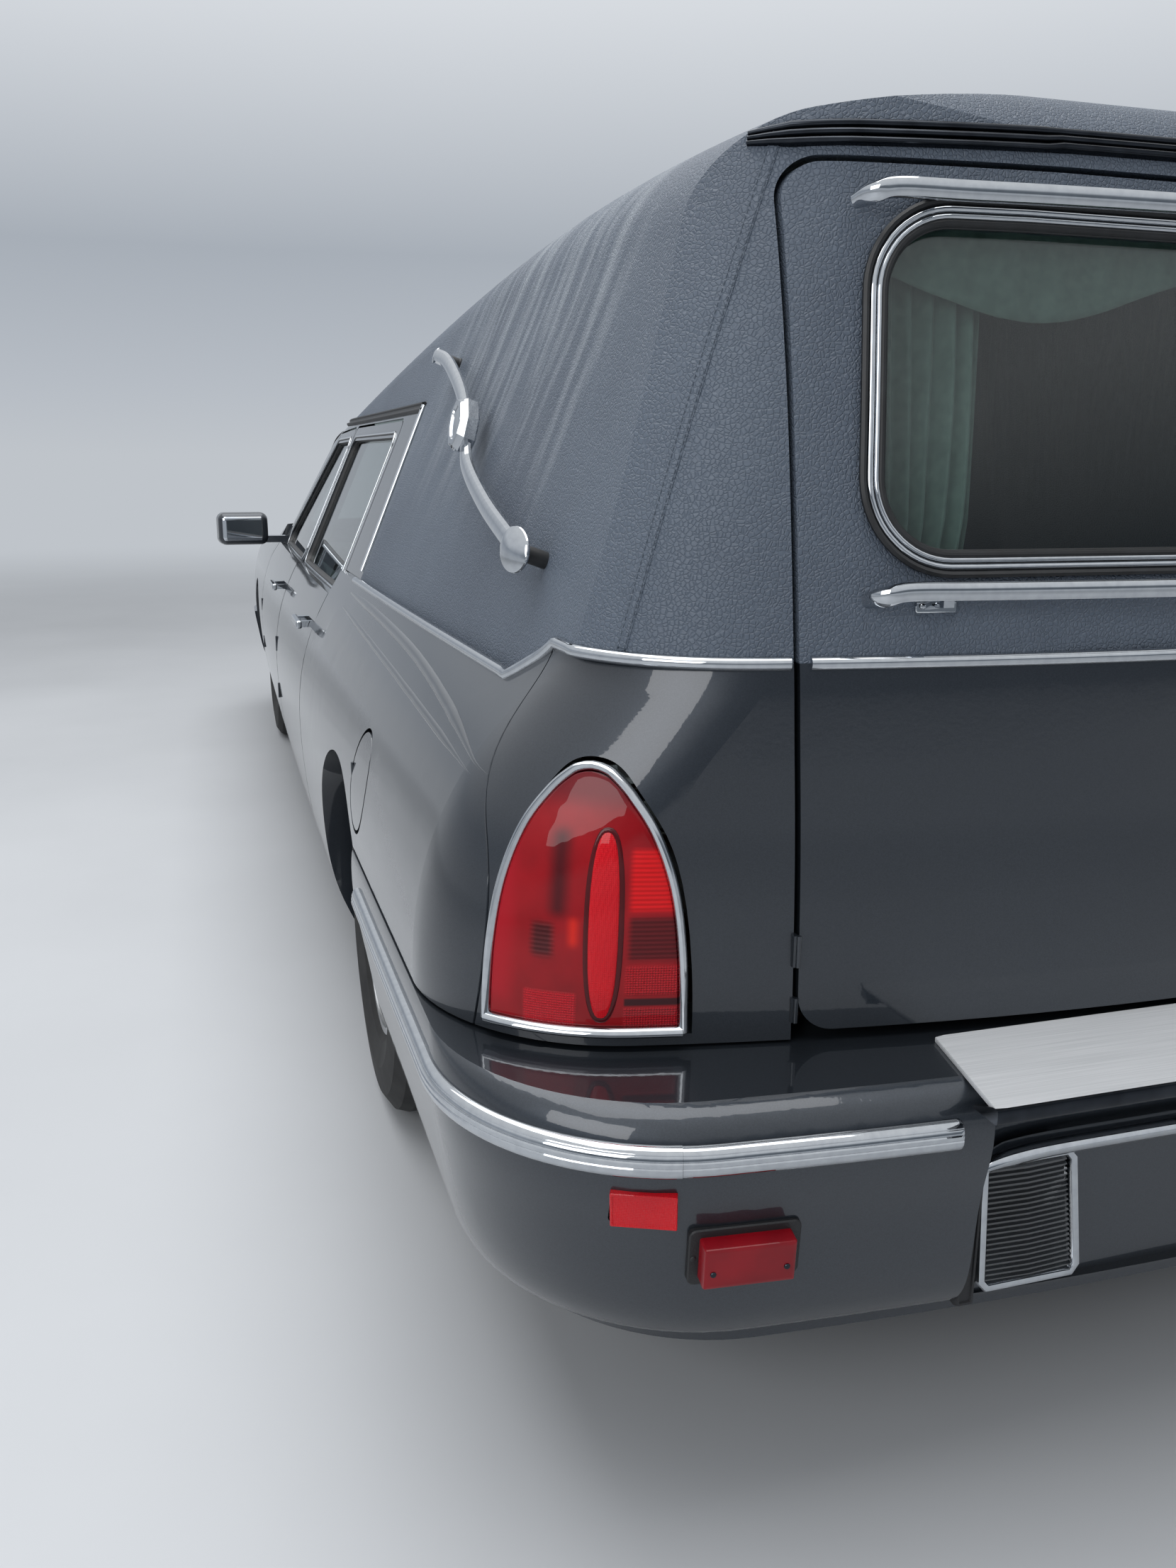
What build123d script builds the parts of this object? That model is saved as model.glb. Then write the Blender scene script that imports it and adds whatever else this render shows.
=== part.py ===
from build123d import *
import math
import os

# A hearse on a long saloon chassis: a hollow painted body with four side doors and a hood, a raised
# roof with a padded vinyl cover and chrome landau irons, and a side-hung load door at the back.
# Frame: +X forward, +Y to the car's left, +Z up; the origin is on the ground under the middle of the
# overall length. Millimetres.

os.makedirs("parts", exist_ok=True)

# Driving dimensions
FRONT_END = 3150            # bumper face, ahead of the origin; the rear bumper ends as far behind it
REAR_END = -FRONT_END
FRONT_AXLE_X = 2090
REAR_AXLE_X = -1745
TYRE_R = 360
TYRE_WIDTH = 225
RIM_R = 206
FRONT_TRACK_HALF = 800
REAR_TRACK_HALF = 826
KINGPIN_Y = 690
ARCH_R_FRONT = 402
ARCH_R_REAR = 396
LOWER_WALL = 90             # a whole door's thickness below the belt
UPPER_WALL = 50             # window frames and roof
GLASS_INSET = 12
GLASS_T = 6
PANEL_GAP = 5               # shut lines of fixed panels and the hood
SEAT = 0.3                  # between pieces of one body that rest on each other
DOOR_GAP = 7                # shut lines of the doors that swing
SIDE_BOW_R = 60000          # plan radius of the vinyl's sides
BOW_MID_X = -200            # where they are widest
BELT_Z = 985                # where side windows start
UPPER_REF_Z = 1044
UPPER_REF_HALF = 863        # half width of the upper body at UPPER_REF_Z
MOULDING_Z = 1044           # lower edge of the vinyl along the side
MOULDING_REAR_Z = 1102      # and round the rear corner
KICK_X = -2580              # where the moulding steps up
KICK_RUN = 110
SILL_Z = 235
DOOR_BOTTOM_Z = 300
ROOF_TOP_Z = 1790

# Half widths and ends of the painted lower body at each height
# z, half_width, x_front, x_rear, front_corner_r, rear_corner_r, widest_x, side_bow_r
LOWER_ROWS = [
    (SILL_Z, 915, 2955, -2985, 400, 290, -1000, 150000),
    (330, 955, 3010, -3005, 400, 290, -1000, 150000),
    (480, 985, 3035, -3015, 400, 285, -1000, 150000),
    (640, 996, 3042, -3012, 400, 280, -1000, 150000),
    (780, 986, 3035, -3004, 400, 275, -900, 140000),
    (900, 951, 3010, -2994, 400, 262, -700, 120000),
    (1000, 901, 2975, -2982, 400, 250, -400, 80000),
    (1060, 868, 2950, -2975, 400, 243, -200, 60000),
    (1120, 843, 2920, -2966, 400, 235, -200, 60000),
]
# Ends of the upper body, whose sides come from ROOF_STATIONS
# z, half_width, x_front, x_rear, front_corner_r, rear_corner_r, widest_x, side_bow_r
UPPER_ROWS = [
    (900, 941, 1745, -2994, 170, 235, -200, 60000),
    (1120, 841, 1382, -2966, 170, 230, -400, 65000),
    (1300, 779, 1085, -2938, 170, 225, -900, 90000),
    (1500, 713, 755, -2902, 160, 218, -1600, 130000),
    (1700, 650, 425, -2862, 150, 210, -2100, 200000),
    (1830, 612, 210, -2834, 150, 205, -2300, 250000),
]
# Roof: x, height at the middle, height of the edges before rounding, edge radius, inward lean of the sides
ROOF_STATIONS = [
    (1800, 1400, 1350, 90, 0.45),
    (900, 1462, 1408, 90, 0.45),
    (300, 1560, 1500, 110, 0.45),
    (-600, 1700, 1632, 140, 0.44),
    (-1600, ROOF_TOP_Z - 6, 1716, 160, 0.38),
    (-2350, ROOF_TOP_Z, 1722, 165, 0.31),
    (-3050, ROOF_TOP_Z - 42, 1682, 165, 0.26),
]
# Hood and wing tops: x, height at the middle, height at the sides, shoulder radius
NOSE_STATIONS = [
    (1180, 1240, 1190, 130),
    (1560, 1036, 985, 130),
    (2250, 985, 935, 130),
    (2800, 893, 850, 125),
    (3060, 798, 770, 110),
]
LOWER_BOW_F, LOWER_BOW_R = 2500, 3600
UPPER_BOW_F, UPPER_BOW_R = 2300, 3600
ROOF_REAR_R = 110           # where the roof turns down to the load door

# Reach of the cutting zones, beyond the body on every side, and the least solid that is kept
FAR, WIDE = 3400, 1300
SIDE_CUT = (560, 1200)
ARCH_CUT = (500, 1200)
SLIVER = 200


def circle_meet(c1, r1, c2, r2, pick):
    """The crossing of two circles for which pick is greatest."""
    dx, dy = c2[0] - c1[0], c2[1] - c1[1]
    d = math.hypot(dx, dy)
    a = (r1 * r1 - r2 * r2 + d * d) / (2 * d)
    h = math.sqrt(max(r1 * r1 - a * a, 0))
    mx, my = c1[0] + a * dx / d, c1[1] + a * dy / d
    found = [(mx + h * dy / d, my - h * dx / d), (mx - h * dy / d, my + h * dx / d)]
    return max(found, key=pick)


def toward(c, p, r):
    """The point at r from c in p's direction."""
    d = math.hypot(p[0] - c[0], p[1] - c[1])
    return (c[0] + (p[0] - c[0]) * r / d, c[1] + (p[1] - c[1]) * r / d)


def plan_face(z, half, x_front, x_rear, r_front, r_rear, widest_x, side_r, bow_front, bow_rear, inset=0):
    """A body outline seen from above, of eight arcs that meet in tangents, at height z."""
    half, x_front, x_rear = half - inset, x_front - inset, x_rear + inset
    r_front, r_rear = r_front - inset, r_rear - inset
    bow_front, bow_rear, bow_side = bow_front - inset, bow_rear - inset, side_r - inset
    side = (widest_x, half - bow_side)
    front = (x_front - bow_front, 0)
    rear = (x_rear + bow_rear, 0)
    corner_f = circle_meet(front, bow_front - r_front, side, bow_side - r_front, lambda p: p[0] + p[1])
    corner_r = circle_meet(rear, bow_rear - r_rear, side, bow_side - r_rear, lambda p: p[1] - p[0])
    f1, f2 = toward(front, corner_f, bow_front), toward(side, corner_f, bow_side)
    r1, r2 = toward(rear, corner_r, bow_rear), toward(side, corner_r, bow_side)

    def middle(c, a, b, r):
        return toward(c, ((a[0] + b[0]) / 2, (a[1] + b[1]) / 2), r)

    def flip(p):
        return (p[0], -p[1])

    mid_f, mid_r = middle(corner_f, f1, f2, r_front), middle(corner_r, r1, r2, r_rear)
    mid_s = toward(side, ((f2[0] + r2[0]) / 2, half), bow_side)
    arcs = [
        (flip(f1), (x_front, 0), f1),
        (f1, mid_f, f2),
        (f2, mid_s, r2),
        (r2, mid_r, r1),
        (r1, (x_rear, 0), flip(r1)),
        (flip(r1), flip(mid_r), flip(r2)),
        (flip(r2), flip(mid_s), flip(f2)),
        (flip(f2), flip(mid_f), flip(f1)),
    ]
    return Face(Wire([ThreePointArc(*points) for points in arcs])).moved(Location((0, 0, z)))


def bow_at(x):
    """How far the sides come in at x, seen from above."""
    return (x - BOW_MID_X) ** 2 / (2 * SIDE_BOW_R)


def lower_body(inset=0, reach=0):
    """The painted body's envelope; reach takes it past its top and bottom, to cut with."""
    rows = [list(row) for row in LOWER_ROWS]
    rows[0][0] -= reach
    rows[-1][0] += reach
    return loft([plan_face(*row, LOWER_BOW_F, LOWER_BOW_R, inset) for row in rows])


def upper_side_half(x, z, lean, inset=0):
    """Half width of the upper body at a station and height."""
    return UPPER_REF_HALF - lean * (z - UPPER_REF_Z) - bow_at(x) - inset * math.hypot(1, lean)


def roof_section(x, z_mid, z_edge, radius, lean, inset):
    """A slice through the raised roof: leaning sides, rounded edges, crowned top."""
    z_low, z_mid, z_edge = 860, z_mid - inset, z_edge - inset
    foot, edge = upper_side_half(x, z_low, lean, inset), upper_side_half(x, z_edge, lean, inset)
    outline = Wire(
        [
            Line((-foot, z_low), (-edge, z_edge)),
            ThreePointArc((-edge, z_edge), (0, z_mid), (edge, z_edge)),
            Line((edge, z_edge), (foot, z_low)),
            Line((foot, z_low), (-foot, z_low)),
        ]
    )
    flat = Face(outline)
    tops = flat.vertices().sort_by(Axis.Y)[-2:]
    flat = fillet(tops, radius - inset)
    return Plane(origin=(x, 0, 0), x_dir=(0, 1, 0), z_dir=(1, 0, 0)) * flat


def rear_profile(inset):
    """The roof in the side view, rounded where it turns down to the load door."""
    foot, corner = (-3002.6 + inset, 850), (-2846 + inset, 1760 - inset)
    top = [(-2350, ROOF_TOP_Z + 1 - inset), (-1600, ROOF_TOP_Z + 15), (2000, ROOF_TOP_Z + 15)]
    flat = make_face(Polyline((2000, 850), foot, corner, *top, close=True))
    tip = flat.vertices().filter_by(lambda v: abs(v.X - corner[0]) < 1 and abs(v.Y - corner[1]) < 1)
    flat = fillet(tip, ROOF_REAR_R - inset)
    return extrude(Plane(origin=(0, 1200, 0), x_dir=(1, 0, 0), z_dir=(0, -1, 0)) * flat, 2400)


def upper_body(inset=0):
    """The cabin and load space above the belt: leaning sides and crowned roof, with rounded ends."""
    ends = loft([plan_face(*row, UPPER_BOW_F, UPPER_BOW_R, inset) for row in UPPER_ROWS])
    sides = loft([roof_section(*row, inset) for row in ROOF_STATIONS])
    return ends & sides & rear_profile(inset)


def nose_section(x, z_mid, z_side, radius, inset):
    """A slice through the hood and wing tops."""
    half, z_low = 955 - inset, 60
    z_mid, z_side = z_mid - inset, z_side - inset
    outline = Wire(
        [
            Line((-half - 60, z_low), (-half, z_side)),
            ThreePointArc((-half, z_side), (0, z_mid), (half, z_side)),
            Line((half, z_side), (half + 60, z_low)),
            Line((half + 60, z_low), (-half - 60, z_low)),
        ]
    )
    flat = Face(outline)
    tops = flat.vertices().sort_by(Axis.Y)[-2:]
    flat = fillet(tops, radius - inset)
    return Plane(origin=(x, 0, 0), x_dir=(0, 1, 0), z_dir=(1, 0, 0)) * flat


def nose_cap(inset=0):
    return loft([nose_section(*row, inset) for row in NOSE_STATIONS])


def span(x0, x1, y0, y1, z0, z1):
    """A box between two corners."""
    return Pos((x0 + x1) / 2, (y0 + y1) / 2, (z0 + z1) / 2) * Box(abs(x1 - x0), abs(y1 - y0), abs(z1 - z0))


def side_prism(points, y0, y1, radius=0):
    """An outline in the side view (x, z), with rounded corners, run from y0 to y1."""
    flat = make_face(Polyline(*points, close=True))
    if radius:
        flat = fillet(flat.vertices(), radius)
    plane = Plane(origin=(0, y0, 0), x_dir=(1, 0, 0), z_dir=(0, -1, 0))
    return extrude(plane * flat, y0 - y1)


def rear_prism(points, x0, x1, radius=0):
    """An outline seen from the front (y, z), run from x0 to x1."""
    flat = make_face(Polyline(*points, close=True))
    if radius:
        flat = fillet(flat.vertices(), radius)
    plane = Plane(origin=(x0, 0, 0), x_dir=(0, 1, 0), z_dir=(1, 0, 0))
    return extrude(plane * flat, x1 - x0)


def plan_prism(points, z0, z1, radius=0):
    """An outline seen from above (x, y), run from z0 to z1."""
    flat = make_face(Polyline(*points, close=True))
    if radius:
        flat = fillet(flat.vertices(), radius)
    return extrude(Pos(0, 0, z0) * flat, z1 - z0)


def grown(points, gap):
    """The same outline pushed out by gap on every side; points run anticlockwise."""
    flat = make_face(Polyline(*points, close=True))
    wider = offset(flat, gap, kind=Kind.INTERSECTION)
    return wider


def drum(x, y0, y1, z, radius):
    """A cylinder across the car."""
    return Pos(x, (y0 + y1) / 2, z) * Rot(90, 0, 0) * Cylinder(radius, abs(y1 - y0))


def mirrored(solid):
    return mirror(solid, about=Plane.XZ)


def both(solid):
    return Compound(children=[solid, mirrored(solid)])


def biggest(shape):
    return max(shape.solids(), key=lambda s: s.volume)


def write(name, shape):
    """One STEP file for each node: the solids of a shape or of a list of shapes, without slivers."""
    shapes = shape if isinstance(shape, (list, ShapeList)) else [shape]
    solids = [s for one in shapes for s in one.solids() if s.volume > SLIVER]
    export_step(Compound(children=solids) if len(solids) > 1 else solids[0], f"parts/{name}.step")


# Body shells: the lower ring of sides and ends, the hood and wing tops, and the upper shell
lower_outer, lower_inner = lower_body(), lower_body(LOWER_WALL, 100)
nose_outer, nose_inner = nose_cap(), nose_cap(28)
upper_outer, upper_inner = upper_body(), upper_body(UPPER_WALL)
whole_lower = lower_outer - lower_inner
whole_upper = upper_outer - upper_inner
front_mass = lower_outer & nose_outer & span(1200, FAR, -WIDE, WIDE, 0, 1500)
front_hollow = lower_inner & nose_inner

# Shut lines in the side view (x, z), anticlockwise seen from the car's right
HINGE_PILLAR_X = 1395
B_PILLAR_X = 170
REAR_DOOR_END_X = -870
DOOR_TOP_Z = 1428
FRONT_DOOR = [(B_PILLAR_X + 4, DOOR_BOTTOM_Z), (HINGE_PILLAR_X, DOOR_BOTTOM_Z), (HINGE_PILLAR_X, 925),
              (1300, 985), (640, DOOR_TOP_Z - 12), (B_PILLAR_X + 4, DOOR_TOP_Z)]
REAR_DOOR = [(REAR_DOOR_END_X, DOOR_BOTTOM_Z), (B_PILLAR_X - 4, DOOR_BOTTOM_Z), (B_PILLAR_X - 4, DOOR_TOP_Z),
             (REAR_DOOR_END_X, DOOR_TOP_Z)]
WINDOW_Z = (BELT_Z + 8, DOOR_TOP_Z - 48)
PILLAR_FRAME = 56           # from the middle of the B pillar to the windows
FRONT_WINDOW = [(B_PILLAR_X + PILLAR_FRAME, WINDOW_Z[0]), (1150, WINDOW_Z[0]), (625, WINDOW_Z[1] - 4),
                (B_PILLAR_X + PILLAR_FRAME, WINDOW_Z[1])]
REAR_WINDOW = [(REAR_DOOR_END_X + 62, WINDOW_Z[0]), (B_PILLAR_X - PILLAR_FRAME, WINDOW_Z[0]),
               (B_PILLAR_X - PILLAR_FRAME, WINDOW_Z[1]), (REAR_DOOR_END_X + 62, WINDOW_Z[1])]
DOOR_CORNER_R = 40
WINDOW_CORNER_R = 30


def outline_prism(points, gap, radius, y0, y1):
    """A shut line grown by gap, through one side of the car."""
    flat = grown(points, gap) if gap else make_face(Polyline(*points, close=True))
    flat = fillet(flat.vertices(), radius)
    plane = Plane(origin=(0, y0, 0), x_dir=(1, 0, 0), z_dir=(0, -1, 0))
    return extrude(plane * flat, y0 - y1)


# Body shells are cut into panels by shut lines. Panels of one side are made on the left and mirrored.
LEFT = span(-FAR, FAR, 0, 1400, 0, 2000)


def wheel_arch(axle_x, radius):
    """The round of a wheel arch, open downwards."""
    below = span(axle_x - radius, axle_x + radius, *ARCH_CUT, 100, TYRE_R)
    return drum(axle_x, *ARCH_CUT, TYRE_R, radius) + below


arch_front, arch_rear = wheel_arch(FRONT_AXLE_X, ARCH_R_FRONT), wheel_arch(REAR_AXLE_X, ARCH_R_REAR)

# Side doors: the whole thickness of the wall inside each shut line, with the window cut
front_hole = outline_prism(FRONT_DOOR, 0, DOOR_CORNER_R, *SIDE_CUT)
rear_hole = outline_prism(REAR_DOOR, 0, DOOR_CORNER_R, *SIDE_CUT)
front_plug = outline_prism(FRONT_DOOR, -DOOR_GAP, DOOR_CORNER_R - DOOR_GAP, *SIDE_CUT)
rear_plug = outline_prism(REAR_DOOR, -DOOR_GAP, DOOR_CORNER_R - DOOR_GAP, *SIDE_CUT)
front_window = outline_prism(FRONT_WINDOW, 0, WINDOW_CORNER_R, *SIDE_CUT)
rear_window = outline_prism(REAR_WINDOW, 0, WINDOW_CORNER_R, *SIDE_CUT)
DOOR_LOWER_TOP = span(-3300, 3300, SIDE_CUT[0], WIDE, 0, BELT_Z)
DOOR_UPPER_FOOT = span(-3300, 3300, SIDE_CUT[0], WIDE, BELT_Z - 25, 1900)
lower_wall = whole_lower & LEFT
upper_wall = whole_upper & LEFT


def door_shell(plug, window):
    below = lower_wall & plug & DOOR_LOWER_TOP
    above = upper_wall & plug & DOOR_UPPER_FOOT
    return biggest((below + above) - window)


def door_glass(window):
    pane = (glass_outer - glass_inner) & window
    return biggest(pane)


glass_outer, glass_inner = upper_body(GLASS_INSET), upper_body(GLASS_INSET + GLASS_T)
door_front = door_shell(front_plug, front_window)
door_rear = door_shell(rear_plug, rear_window)
glass_front = door_glass(front_window)
MIRROR_AT = (1165, 1046, 1046)
mirror_case = Pos(*MIRROR_AT) * Rot(0, 0, 8) * fillet(Box(96, 196, 128).edges(), 30)
door_front = door_front + mirror_case + span(1150, 1208, 835, 985, 990, 1016)
HANDLE_Z = 900
for door_no, x0 in ((0, 205), (1, -830)):
    pull = fillet(span(x0, x0 + 160, 976, 992, HANDLE_Z - 11, HANDLE_Z + 11).edges(), 6)
    pull = pull + span(x0 + 14, x0 + 34, 935, 980, HANDLE_Z - 8, HANDLE_Z + 8) + span(
        x0 + 126, x0 + 146, 935, 980, HANDLE_Z - 8, HANDLE_Z + 8)
    if door_no == 0:
        door_front = door_front + pull
    else:
        door_rear = door_rear + pull
glass_rear = door_glass(rear_window)
for side, make in (("left", lambda s: s), ("right", mirrored)):
    write(f"door_front_{side}", make(door_front))
    write(f"door_rear_{side}", make(door_rear))
    write(f"glass_front_{side}", make(glass_front))
    write(f"glass_rear_{side}", make(glass_rear))

# The rear load door: painted below the moulding, vinyl above it
LOAD_DOOR_HALF = 573
LOAD_DOOR_TOP_HALF = 573
LOAD_DOOR_Z = (650, 1668)
LOAD_WINDOW_HALF = (470, 452)
LOAD_WINDOW_Z = (1222, 1596)
LOAD_DOOR = [(-LOAD_DOOR_HALF, LOAD_DOOR_Z[0]), (LOAD_DOOR_HALF, LOAD_DOOR_Z[0]),
             (LOAD_DOOR_TOP_HALF, LOAD_DOOR_Z[1]), (-LOAD_DOOR_TOP_HALF, LOAD_DOOR_Z[1])]
LOAD_WINDOW = [(-LOAD_WINDOW_HALF[0], LOAD_WINDOW_Z[0]), (LOAD_WINDOW_HALF[0], LOAD_WINDOW_Z[0]),
               (LOAD_WINDOW_HALF[1], LOAD_WINDOW_Z[1]), (-LOAD_WINDOW_HALF[1], LOAD_WINDOW_Z[1])]


def back_prism(points, gap, radius):
    flat = grown(points, gap) if gap else make_face(Polyline(*points, close=True))
    flat = fillet(flat.vertices(), radius)
    return extrude(Plane(origin=(-3300, 0, 0), x_dir=(0, 1, 0), z_dir=(1, 0, 0)) * flat, 700)


DOOR_HINGES = [(HINGE_PILLAR_X - DOOR_GAP / 2, 974), (B_PILLAR_X - 4 - DOOR_GAP / 2, 990)]
DOOR_HINGE_Z = [(530, 580), (690, 740)]
GAP_PIN_R = DOOR_GAP / 2 - 0.4


def gap_pin(x, y, z0, z1, leaf_x, leaf_y):
    """A hinge pin that stands in a shut line, with the leaf that carries it."""
    pin = Pos(x, y, (z0 + z1) / 2) * Cylinder(GAP_PIN_R, z1 - z0)
    leaf = span(min(x, leaf_x), max(x, leaf_x), min(y, leaf_y), max(y, leaf_y), z0, z1)
    return pin + leaf


LOAD_HINGE = (-2966, LOAD_DOOR_HALF - DOOR_GAP / 2)
LOAD_HINGE_Z = [(668, 700), (740, 780)]

load_hole = back_prism(LOAD_DOOR, 0, 50)
load_plug = back_prism(LOAD_DOOR, -DOOR_GAP, 44)
load_window = back_prism(LOAD_WINDOW, 0, 85)
below_line = span(-FAR, 0, -WIDE, WIDE, 0, MOULDING_REAR_Z)
above_line = span(-FAR, 0, -WIDE, WIDE, MOULDING_REAR_Z, 1900)
load_lower = biggest(whole_lower & load_plug & below_line)
load_upper = biggest((whole_upper & load_plug & above_line) - load_window)
load_glass = biggest((glass_outer - glass_inner) & load_window & span(-FAR, -2400, -WIDE, WIDE, 1100, 1900))
write("load_door", load_lower)
write("load_door_vinyl", load_upper)
write("load_door_glass", load_glass)

# Where paint ends and vinyl begins: along the side, then a step up round the rear corner
VINYL_FRONT_X = -1139
RAIL_TOP_Z = DOOR_TOP_Z + 31
HEADER_X = 560              # the vinyl starts here; the painted header is ahead of it
PAINT_ZONE = [(-FAR, 100), (VINYL_FRONT_X + 200, 100), (VINYL_FRONT_X + 200, MOULDING_Z), (KICK_X, MOULDING_Z),
              (KICK_X - KICK_RUN, MOULDING_REAR_Z), (-FAR, MOULDING_REAR_Z)]
paint_zone = side_prism(PAINT_ZONE, WIDE, -WIDE)
quarter = whole_lower & span(-3300, REAR_DOOR_END_X, -WIDE, WIDE, 0, 1300) & paint_zone
quarter = quarter - load_hole - arch_rear - mirrored(arch_rear) - rear_hole - mirrored(rear_hole)
# A fine seam runs down from the step in the moulding to the lamp's foot
CAP_SEAM = [(-2680, 1112), (-2690, 1050), (-2740, 950), (-2800, 860), (-2822, 760), (-2815, 640)]
SEAM_WIDTH, SEAM_DEPTH = 3, 4
seam_plane = Plane(origin=(0, WIDE, 0), x_dir=(1, 0, 0), z_dir=(0, -1, 0))
seam = extrude(seam_plane * trace(Spline(*CAP_SEAM), SEAM_WIDTH), 2600)
quarter = quarter - ((lower_outer - lower_body(SEAM_DEPTH)) & seam)
# The rear bumper takes the corner below the lamps
BUMPER_TOP_Z = 642
bumper_zone_rear = span(-FAR, REAR_AXLE_X, -WIDE, WIDE, 0, BUMPER_TOP_Z)
quarter = quarter - span(-FAR, REAR_AXLE_X, -WIDE, WIDE, 0, BUMPER_TOP_Z + 4)
quarter = quarter - span(-FAR, -2700, -LOAD_DOOR_HALF - 1, LOAD_DOOR_HALF + 1, 600, 700)

# The raised roof with its vinyl sides and rear corners, over the doors and down to the moulding
roof_zone = side_prism([(-FAR, 960), (VINYL_FRONT_X - 1, 960), (VINYL_FRONT_X - 1, RAIL_TOP_Z + 1),
                        (HEADER_X, RAIL_TOP_Z + 1), (HEADER_X, 1900), (-FAR, 1900)], WIDE, -WIDE)
roof = (whole_upper & roof_zone) - paint_zone - load_hole
write("vinyl_roof", roof)

# Sills, pillars and the windscreen surround
SCREEN = [(-800, 1028), (800, 1028), (672, 1418), (-672, 1418)]


def screen_prism(gap, radius):
    flat = grown(SCREEN, gap) if gap else make_face(Polyline(*SCREEN, close=True))
    flat = fillet(flat.vertices(), radius)
    return extrude(Plane(origin=(560, 0, 0), x_dir=(0, 1, 0), z_dir=(1, 0, 0)) * flat, 1400)


screen_hole = screen_prism(0, 60)
frame_side = whole_lower & span(REAR_DOOR_END_X + 0.5, 1425, -WIDE, WIDE, 0, BELT_Z)
frame_zone = span(VINYL_FRONT_X, 1900, -WIDE, WIDE, BELT_Z, RAIL_TOP_Z)
frame_zone = frame_zone + span(HEADER_X + 1, 1900, -WIDE, WIDE, BELT_Z, 1900)
frame_top = whole_upper & frame_zone
frame_top = frame_top - span(VINYL_FRONT_X - 1, REAR_DOOR_END_X, -WIDE, WIDE, 900, MOULDING_Z + 0.5)
pillars = frame_side + frame_top
for hole in (front_hole, rear_hole):
    pillars = pillars - hole - mirrored(hole)
pillars = pillars - screen_hole
for x, y in DOOR_HINGES:
    for z0, z1 in DOOR_HINGE_Z:
        pin = gap_pin(x, y, z0, z1, x + DOOR_GAP / 2 + 3, y - 25)
        pillars = pillars + pin + mirrored(pin)
write("body_frame", pillars)
screen = biggest((glass_outer - glass_inner) & screen_hole)
write("windscreen", screen)

# Front: wings, hood, nose panel round the grille, headlamps
front_shell = front_mass - front_hollow
HOOD = [(1588, -540), (1530, -712), (2500, -690), (2965, -520), (2990, -300), (2990, 300), (2965, 520),
        (2500, 690), (1530, 712), (1588, 540)]
HOOD_FRONT_Z = 772
BUMPER_F_TOP_Z = 560
BUMPER_F_REAR_X = FRONT_AXLE_X + ARCH_R_FRONT + 4
GRILLE_HALF, GRILLE_Z = 300, (572, 770)
GRILLE_CORNER_R = 45
LAMP_Y, LAMP_Z = (395, 1000), (612, 742)
hood_flat = make_face(Polyline(*HOOD, close=True))
hood_hole = extrude(Pos(0, 0, HOOD_FRONT_Z) * hood_flat, 600)
hood_inner = offset(hood_flat, -PANEL_GAP, kind=Kind.INTERSECTION)
hood_plug = extrude(Pos(0, 0, HOOD_FRONT_Z + PANEL_GAP) * hood_inner, 600)
hood = biggest(front_shell & hood_plug)
grille_hole = rear_prism([(-GRILLE_HALF, GRILLE_Z[0]), (GRILLE_HALF, GRILLE_Z[0]), (GRILLE_HALF, GRILLE_Z[1]),
                          (-GRILLE_HALF, GRILLE_Z[1])], 2800, 3300, GRILLE_CORNER_R)
lamp_hole = span(2600, FAR, LAMP_Y[0], LAMP_Y[1], LAMP_Z[0], LAMP_Z[1])
lamp_cut = span(2600, FAR, LAMP_Y[0] - 3, LAMP_Y[1], LAMP_Z[0] - 3, LAMP_Z[1] + 3)
clip = front_shell - hood_hole - grille_hole - lamp_cut - mirrored(lamp_cut) - arch_front - mirrored(arch_front)
clip = clip - span(BUMPER_F_REAR_X, FAR, -WIDE, WIDE, 0, BUMPER_F_TOP_Z + SEAT)
clip = clip - span(1000, HINGE_PILLAR_X, -WIDE, WIDE, 0, 2000)
clip = clip - upper_outer - span(1000, 1427, -WIDE, WIDE, 0, BELT_Z + 0.5) - front_hole - mirrored(front_hole)
NOSE_HALF = LAMP_Y[0] - 3
NOSE_X = 2700
nose_zone = span(NOSE_X, FAR, -WIDE, WIDE, 0, LAMP_Z[0] - 3)
nose_zone = nose_zone + span(NOSE_X, FAR, -NOSE_HALF, NOSE_HALF, 500, 1400)
nose_wide = span(NOSE_X - 4, FAR, -WIDE, WIDE, 0, LAMP_Z[0] - 2)
nose_wide = nose_wide + span(NOSE_X, FAR, -NOSE_HALF - 4, NOSE_HALF + 4, 500, 1400)
COWL_HALF = 700
cowl_zone = span(1200, 1700, -COWL_HALF, COWL_HALF, 600, 1400)
write("nose_panel", clip & nose_zone)
HOOD_AXIS = (1590.5, 1038)
BARREL_R = 3
cowl_panel = (clip & cowl_zone) + Pos(HOOD_AXIS[0], 0, HOOD_AXIS[1]) * Rot(90, 0, 0) * Cylinder(BARREL_R, 100)
cowl_panel = cowl_panel + span(HOOD_AXIS[0] - 12, HOOD_AXIS[0], -50, 50, 1026, HOOD_AXIS[1])
write("cowl_panel", cowl_panel)
for y in (-70.4, 70.4):
    hood = hood + Pos(HOOD_AXIS[0], y, HOOD_AXIS[1]) * Rot(90, 0, 0) * Cylinder(BARREL_R, 40)
    hood = hood + span(HOOD_AXIS[0], HOOD_AXIS[0] + 12, y - 20, y + 20, 1026, HOOD_AXIS[1])
write("hood", hood)
wings = clip - nose_wide - span(1200, 1700, -COWL_HALF - 3, COWL_HALF + 3, 600, 1400)
write("wings", wings)
headlamp = biggest((front_shell - lower_body(60, 100)) & lamp_hole)
write("headlamps", both(headlamp))

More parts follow.
